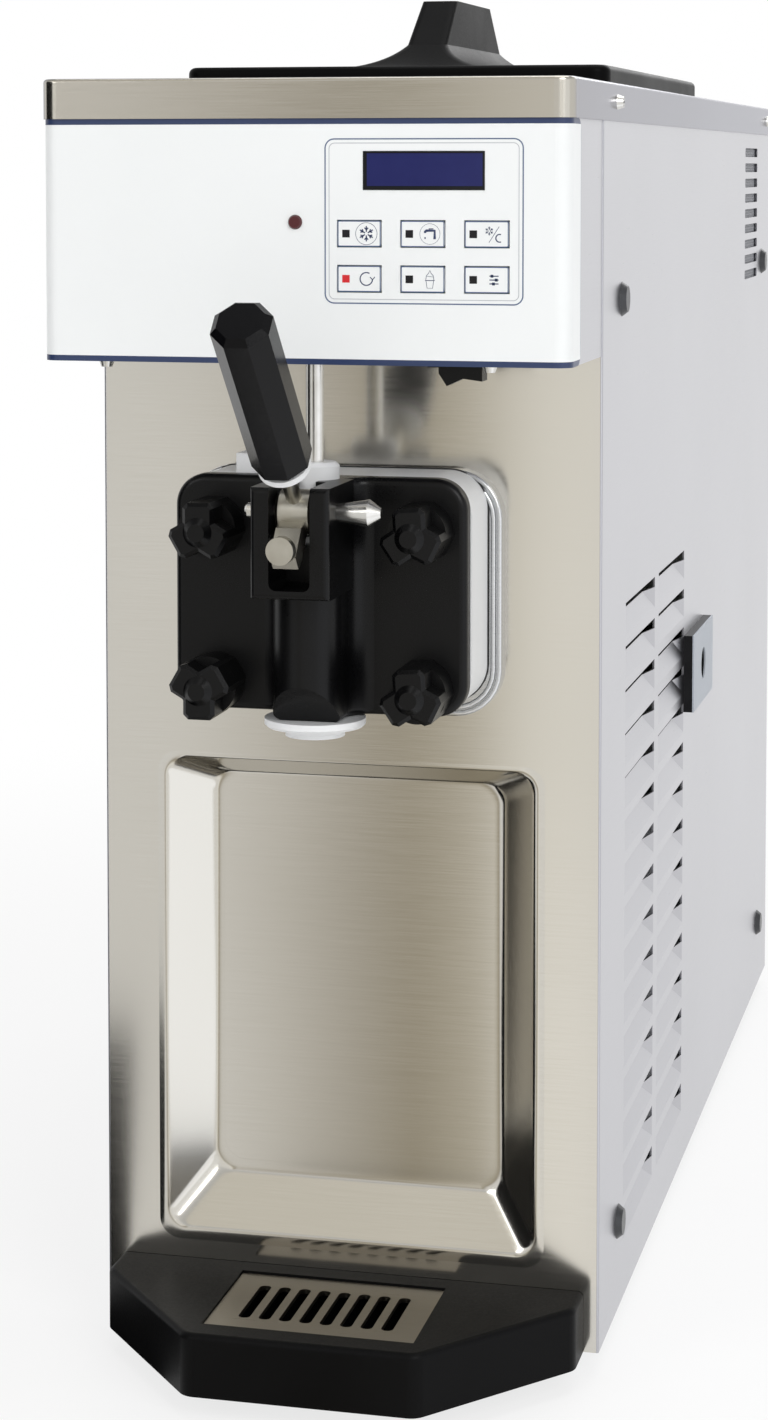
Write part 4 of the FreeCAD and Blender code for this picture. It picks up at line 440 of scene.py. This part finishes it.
def key_icons():
    """Generic marks of the six keys: cold, tap, cold or night, restart, cone and settings."""
    cold = [pen(arc(4.3)[:-1], 0.16, True)] + snowflake(3.0)
    tap = [pen(arc(4.0)[:-1], 0.12, True),
           pen([(-1.9, 0.4), (-1.9, 0.9), (-1.4, 1.3), (1.9, 1.3), (1.9, -2.0)], 1.0),
           pen([(-0.5, 2.0), (1.4, 2.0)], 0.35), pen([(-1.9, -1.2), (-1.9, -1.9)], 0.5)]
    night = (moved(snowflake(1.7), -1.9, 1.3) + [pen([(-2.0, -3.2), (2.0, 3.0)], 0.2)]
             + moved([pen(arc(1.5, 70, 290), 0.45)], 2.2, -1.5))
    turn = [pen(arc(2.5, 60, 360), 0.45), pen([(1.5, 0.7), (2.5, -0.3), (3.4, 0.8)], 0.4)]
    cone = [pen([(-1.5, -0.6), (-1.1, -3.4), (1.1, -3.4), (1.5, -0.6)], 0.2),
            pen([(-1.9, -0.4), (1.9, -0.4)], 0.3),
            pen([(-1.6, -0.2), (-1.4, 1.4), (-0.5, 2.4), (0.0, 3.6), (0.5, 2.4), (1.4, 1.4), (1.6, -0.2)],
                0.2),
            pen([(-1.4, 1.3), (1.4, 1.0)], 0.15)]
    menu = [pen([(-1.8, z), (1.8, z)], 0.4) for z in (-1.5, 0.0, 1.5)]
    for x, z in ((-0.8, 1.5), (0.9, 0.0), (-0.2, -1.5)):
        menu += moved([square(0.55)], x, z)
    return [cold, tap, night, turn, cone, menu]


LAMP_SHIFT = -5.3
LAMP_HALF = 1.5
ICON_SHIFT = 2.9
FRAME_LINE = 0.42
FRAME_CORNER = 0.5
LIT_LAMP_KEY = 4
for number, icon in enumerate(key_icons(), 1):
    low, high = span("key_%d" % number)
    middle = (low + high) / 2
    face = low[1]
    half = (high - low) / 2
    edge = pen(loop(half[0] - FRAME_LINE / 2, half[2] - FRAME_LINE / 2, FRAME_CORNER), FRAME_LINE, True)
    marks = [relief(edge, middle[[0, 2]], face)]
    piece("key_%d_frame" % number, marks, navy_ink, "key_%d" % number)
    marks = [relief(shape, middle[[0, 2]] + (ICON_SHIFT, 0), face) for shape in icon]
    piece("key_%d_icon" % number, marks, dark_ink, "key_%d" % number)
    # a lamp window on each key; on the restart key it is lit, its glow painted bright red
    marks = [relief(square(LAMP_HALF), middle[[0, 2]] + (LAMP_SHIFT, 0), face)]
    red = number == LIT_LAMP_KEY
    piece("key_%d_lamp" % number, marks, lit_lamp if red else lamp_off,
          "key_%d" % number)

PANEL_X = (9.9, 88.7)
PANEL_Z = (441.8, 505.9)
PANEL_CORNER, PANEL_LINE = 3.6, 0.5
INNER_INSET, INNER_CORNER, INNER_LINE = 1.6, 2.2, 0.3
panel_middle = np.array([sum(PANEL_X), sum(PANEL_Z)]) / 2
panel_half = np.array([PANEL_X[1] - PANEL_X[0], PANEL_Z[1] - PANEL_Z[0]]) / 2
outer = pen(loop(*panel_half, PANEL_CORNER), PANEL_LINE, True)
inner = pen(loop(*(panel_half - INNER_INSET), INNER_CORNER), INNER_LINE, True)
piece("panel_outline", [relief(outer, panel_middle, overlay_low[1])], navy_ink, "cabinet")
piece("panel_inline", [relief(inner, panel_middle, overlay_low[1])], grey_ink, "cabinet")


# Small parts of the cabinet
def block(low, high):
    """A rectangular sheet between two corners: its outline at the low and at the high level, capped."""
    ring = np.array([(low[0], low[1]), (high[0], low[1]), (high[0], high[1]), (low[0], high[1])])
    rings = np.stack([np.insert(ring, 2, z, axis=1) for z in (low[2], high[2])])
    return skin(rings, round_v=True, capped=True)


def bead(line, radius, level, steps=10):
    """A round bead along a closed line in X and Z: a circle square to the line, carried along it."""
    run = np.roll(line, -1, 0) - np.roll(line, 1, 0)
    out = np.stack([run[:, 1], -run[:, 0]], 1) / np.linalg.norm(run, axis=1, keepdims=True)
    turn = np.linspace(0, 2 * np.pi, steps, endpoint=False)
    flat = line[:, None] + radius * np.cos(turn)[None, :, None] * out[:, None]
    depth = np.broadcast_to(level + radius * np.sin(turn), flat.shape[:2])
    return skin(np.stack([flat[..., 0], depth, flat[..., 1]], -1), round_u=True, round_v=True)


# insect screens behind the vents
SCREEN = 0.4
SCREEN_BACK = 1.6
VENT_Y = (491.0, 557.0)
VENT_Z = (428.0, 509.0)
for side, name in ((-1, "left"), (1, "right")):
    outside = span(name + "_side_panel")[(side + 1) // 2][0]
    across = sorted((outside - side * SCREEN_BACK, outside - side * (SCREEN_BACK + SCREEN)))
    sheet = block((across[0], VENT_Y[0], VENT_Z[0]), (across[1], VENT_Y[1], VENT_Z[1]))
    piece("vent_screen_" + name, [sheet], screen, "cabinet")

# two rolled beads on the face of the door flange, inset by so many radii of a bead, and the seal of the
# door body on it
FLANGE_CORNER = 20.0
BODY_CORNER = 16.0
BEAD = 1.15
BEAD_INSETS = (1.0, 3.2)
SEAL = 0.55
flange_low, flange_high = span("door_flange")
flange_half = (flange_high - flange_low)[[0, 2]] / 2
flange_middle = ((flange_high + flange_low) / 2)[[0, 2]]
beads = [bead(loop(*(flange_half - inset), FLANGE_CORNER - inset) + flange_middle, BEAD, flange_low[1])
         for inset in np.array(BEAD_INSETS) * BEAD]
piece("flange_beads", beads, food_steel, "cabinet", smooth=60)
seal_low, seal_high = span("door_body")
seal_foot, seal_top = span("door_cover")[0][2], flange_high[2]
seal_half = np.array([seal_high[0] - seal_low[0], seal_top - seal_foot]) / 2
seal_middle = np.array([seal_high[0] + seal_low[0], seal_top + seal_foot]) / 2
seal = bead(loop(*seal_half, BODY_CORNER) + seal_middle, SEAL, flange_low[1] - SEAL)
piece("door_seal", [seal], rubber, "cabinet", smooth=60)

# drawn corners of the recess: the sheet bends over the mouth's edge, runs straight down the wall and
# bends again into the back, in loops from outside the mouth to inside the back
MOUTH_HALF, MOUTH_FOOT, MOUTH_TOP = 80.0, 39.0, 244.0
BACK_HALF, BACK_FOOT, BACK_TOP = 63.6, 60.0, 235.5
RECESS_CORNER, RECESS_DEPTH = 9.0, 16.0
MOUTH_BEND, BACK_BEND = 0.4, 0.6
LIP_START, LIP_RUN, LIP_SHARE = 0.04, 0.2, 0.93
BACK_GAP = 0.05
CORNER_STEPS = 14
SHEET = 0.3


def pressed_wall(way):
    """Depth at a share of the way from the mouth's edge, 0, to the back's edge, 1. A soft maximum of the
    panel and the wall, lowered to stay in front of them, then a soft minimum of that and the back. The lip
    outside the mouth settles on the panel."""
    lip = MOUTH_BEND * math.log(2)
    wall = MOUTH_BEND * np.logaddexp(0, RECESS_DEPTH * way / MOUTH_BEND) - lip
    wall = wall + LIP_SHARE * lip * np.clip((-way - LIP_START) / LIP_RUN, 0, 1) ** 2
    return -BACK_BEND * np.logaddexp(-wall / BACK_BEND, (BACK_GAP - RECESS_DEPTH) / BACK_BEND)


# closer together where the sheet bends
ways = np.concatenate([np.linspace(-0.25, -0.05, 6), np.linspace(-0.04, 0.2, 16),
                       np.linspace(0.25, 0.8, 6), np.linspace(0.82, 1.25, 18)])
rings = []
for way in ways:
    half = MOUTH_HALF + (BACK_HALF - MOUTH_HALF) * way
    foot = MOUTH_FOOT + (BACK_FOOT - MOUTH_FOOT) * way
    top = MOUTH_TOP + (BACK_TOP - MOUTH_TOP) * way
    ring = loop(half, (top - foot) / 2, RECESS_CORNER, CORNER_STEPS) + (0, (top + foot) / 2)
    rings.append(np.insert(ring, 1, pressed_wall(way), axis=1))
rings = np.array(rings)
both_faces = np.concatenate([rings, rings[::-1] + (0, SHEET, 0)])
piece("recess_pressing", [skin(both_faces, round_u=True, round_v=True)], front_steel, "cabinet",
      smooth=50)

# dark crosses on the screws on the top cover's sides: painted shade that stands for their cross recesses
SCREW_INSET = 30.7
SCREW_DROP = 3.2
CROSS = 1.9
CROSS_WIDTH = 0.8
screws_low, screws_high = span("cabinet_screws")
cross_shades = []
for face in (screws_low[0], screws_high[0]):
    for y in (SCREW_INSET, span("rear_panel")[1][1] - SCREW_INSET):
        middle = (y, screws_high[2] - SCREW_DROP)
        for bar in ([(-CROSS, 0), (CROSS, 0)], [(0, -CROSS), (0, CROSS)]):
            cross_shades.append(relief(pen(bar, CROSS_WIDTH), middle, face, 0))
piece("screw_cross_shades", cross_shades, lamp_off, "cabinet")


# Room: floor, cards, lamps and camera
def board(name, corners, finish):
    """A flat studio board from four corners, in metres, that isn't part of the machine."""
    mesh = bpy.data.meshes.new(name)
    mesh.from_pydata(corners, [], [(0, 1, 2, 3)])
    mesh.materials.append(finish)
    made = bpy.data.objects.new(name, mesh)
    bpy.context.scene.collection.objects.link(made)
    return made


def fan_card(name, foot, stops):
    """A glowing board with bands that fan out from a point in the room: the offset to the side over the
    distance ahead of that point picks a colour between the stops."""
    made = bpy.data.materials.new(name)
    made.use_nodes = True
    tree = made.node_tree
    tree.nodes.clear()
    where = add(tree, "ShaderNodeTexCoord").outputs["Object"]
    place = add(tree, "ShaderNodeSeparateXYZ", {"Vector": where}).outputs
    aside = work_out(tree, "SUBTRACT", place["X"], foot[0])
    ahead = work_out(tree, "SUBTRACT", foot[1], place["Y"])
    bearing = work_out(tree, "DIVIDE", aside, ahead)
    first, last = stops[0][0], stops[-1][0]
    ramp = add(tree, "ShaderNodeValToRGB", {"Fac": spread(tree, bearing, 0.0, 1.0, first, last)})
    marks = ramp.color_ramp.elements
    while len(marks) < len(stops):
        marks.new(1.0)
    for mark, (at, tone) in zip(marks, stops):
        mark.position = (at - first) / (last - first)
        mark.color = (*tone, 1.0)
    light = add(tree, "ShaderNodeEmission", {"Color": ramp.outputs[0]})
    add(tree, "ShaderNodeOutputMaterial", {"Surface": light.outputs[0]})
    return made


def glow(name, tone):
    """A board that glows evenly."""
    return start(name, base_color=(0.0, 0.0, 0.0, 1.0), specular_ior_level=0.0,
                 emission_color=(*tone, 1.0), emission_strength=1.0)[0]


def pale_floor(name, colour, share, near, far):
    """A matt floor that takes the machine's shadow. In what the camera, metal and glass see of it, a share
    of plain white lightens it near the machine, and between two distances it fades to white."""
    made, tree, shader, where = start(name, base_color=linear(colour), roughness=0.7)
    away = add(tree, "ShaderNodeVectorMath", {0: where}, operation="LENGTH").outputs["Value"]
    fade = add(tree, "ShaderNodeMapRange", {"Value": away, "From Min": near, "From Max": far,
                                            "To Min": share},
               interpolation_type="SMOOTHSTEP").outputs[0]
    path = add(tree, "ShaderNodeLightPath").outputs
    mirrored = work_out(tree, "MAXIMUM", path["Is Glossy Ray"], path["Is Transmission Ray"])
    seen = work_out(tree, "MAXIMUM", path["Is Camera Ray"], mirrored)
    white = add(tree, "ShaderNodeEmission", {"Color": (1.0, 1.0, 1.0, 1.0)}).outputs[0]
    both = add(tree, "ShaderNodeMixShader", {0: work_out(tree, "MULTIPLY", fade, seen),
                                             1: shader.outputs[0], 2: white})
    feed(tree, tree.nodes["Material Output"], {"Surface": both.outputs[0]})
    return made


FLOOR = 6.0
board("floor", [(-FLOOR, -FLOOR, 0), (FLOOR, -FLOOR, 0), (FLOOR, FLOOR, 0), (-FLOOR, FLOOR, 0)],
      pale_floor("pale_floor", "F4F4F4", 0.78, 0.5, 1.2))
# Boards that only reflections see, in metres from the front panel: bands of table and wall ahead of the
# sheet steel, dark flags at the left, bright boards at the right, and a warm hood over the recess.
FAN_FOOT = (0.307, 0.982)
front = DATUM[1]
bands = fan_card("banded_card", FAN_FOOT, [
    (-0.42, (0.88, 0.88, 0.87)), (-0.31, (0.88, 0.87, 0.85)), (-0.285, (0.75, 0.73, 0.69)),
    (-0.255, (0.54, 0.51, 0.45)), (-0.235, (0.42, 0.38, 0.30)), (-0.212, (0.58, 0.54, 0.45)),
    (-0.192, (1.02, 1.0, 0.95)), (-0.175, (1.06, 1.04, 1.0)), (-0.15, (0.95, 0.94, 0.92))])
bright = glow("bright_card", (1.3, 1.32, 1.36))
black = glow("black_card", (0.01, 0.01, 0.01))
warm = glow("warm_card", (0.8, 0.77, 0.7))
for name, corners, finish in (
        ("table_card", [(-1.5, -2.8, 0.002), (0.9, -2.8, 0.002), (0.9, -0.09, 0.002),
                        (-1.5, -0.09, 0.002)], bands),
        ("wall_card", [(-2.6, -2.8, 0.0), (0.9, -2.8, 0.0), (0.9, -2.8, 1.1),
                       (-2.6, -2.8, 1.1)], bands),
        ("left_card", [(-0.9, -0.95, 0.0), (-0.9, -0.01, 0.0), (-0.9, -0.01, 0.9),
                       (-0.9, -0.95, 0.9)], black),
        ("left_floor_card", [(-0.9, -0.42, 0.003), (-0.235, -0.42, 0.003),
                             (-0.118, -0.06, 0.003), (-0.9, -0.06, 0.003)], black),
        ("tray_card", [(-0.9, -0.06, 0.003), (-0.06, -0.06, 0.003),
                       (-0.104, 0.01, 0.003), (-0.9, 0.01, 0.003)], black),
        ("hood_card", [(-1.2, -1.5, 1.25), (0.6, -1.5, 1.25), (0.6, -0.4, 1.25),
                       (-1.2, -0.4, 1.25)], warm),
        ("right_floor_card", [(0.2, -0.45, 0.003), (0.95, -0.45, 0.003),
                              (0.95, -0.03, 0.003), (0.16, -0.03, 0.003)], bright),
        ("right_card", [(0.95, -0.95, 0.0), (0.95, -0.12, 0.0), (0.95, -0.12, 0.6),
                        (0.95, -0.95, 0.6)], bright)):
    card = board(name, [(x, front + y, z) for x, y, z in corners], finish)
    card.visible_camera = False
    card.visible_diffuse = False
    card.visible_transmission = False
    card.visible_shadow = False


def lamp(name, place, aim, size, power):
    """A square soft box, in metres and watts, turned towards a point."""
    data = bpy.data.lights.new(name, "AREA")
    data.size = size
    data.energy = power
    made = bpy.data.objects.new(name, data)
    made.location = place
    towards = np.array(aim) - place
    made.rotation_euler = (math.atan2(math.hypot(towards[0], towards[1]), -towards[2]), 0,
                           math.atan2(towards[1], towards[0]) - math.pi / 2)
    bpy.context.scene.collection.objects.link(made)


lamp("key_box", (1.5, -1.9, 1.7), (0, -0.1, 0.3), 1.4, 28)
lamp("fill_box", (-1.4, -2.0, 1.5), (0, -0.1, 0.3), 1.2, 12)
lamp("top_box", (0.2, 0.2, 2.2), (0, 0, 0.4), 1.6, 16)
lamp("back_box", (0.6, 2.2, 1.6), (0, 0.2, 0.3), 1.4, 14)

world = bpy.data.worlds.new("studio")
bpy.context.scene.world = world
world.use_nodes = True
sky = world.node_tree
sky.nodes.clear()
# the sky is white to the camera, and in metal and glass it goes from white at the horizon to grey overhead
path = add(sky, "ShaderNodeLightPath").outputs
direction = add(sky, "ShaderNodeTexCoord").outputs["Generated"]
rise = add(sky, "ShaderNodeSeparateXYZ", {"Vector": direction}).outputs["Z"]
mirrored = work_out(sky, "MAXIMUM", path["Is Glossy Ray"], path["Is Transmission Ray"])
level = spread(sky, mirrored, 0.42, spread(sky, rise, 1.0, 0.45, 0.15, 0.75))
level = spread(sky, path["Is Camera Ray"], level, 1.0)
back = add(sky, "ShaderNodeBackground", {"Color": (1.0, 1.0, 1.0, 1.0), "Strength": level})
add(sky, "ShaderNodeOutputWorld", {"Surface": back.outputs[0]})

EYE = (307.1, -1213.32, 495.17)
YAW, PITCH = 13.522, 3.5
SENSOR, LENS, SHIFT = 36, 76.08, -0.2535
camera = bpy.data.objects.new("camera", bpy.data.cameras.new("camera"))
camera.location = np.array(EYE) * MM + DATUM
camera.rotation_euler = (math.radians(90 - PITCH), 0, math.radians(YAW))
camera.data.sensor_width = SENSOR
camera.data.lens = LENS
camera.data.shift_y = SHIFT
bpy.context.scene.collection.objects.link(camera)
bpy.context.scene.camera = camera
bpy.context.scene.view_settings.view_transform = "Standard"
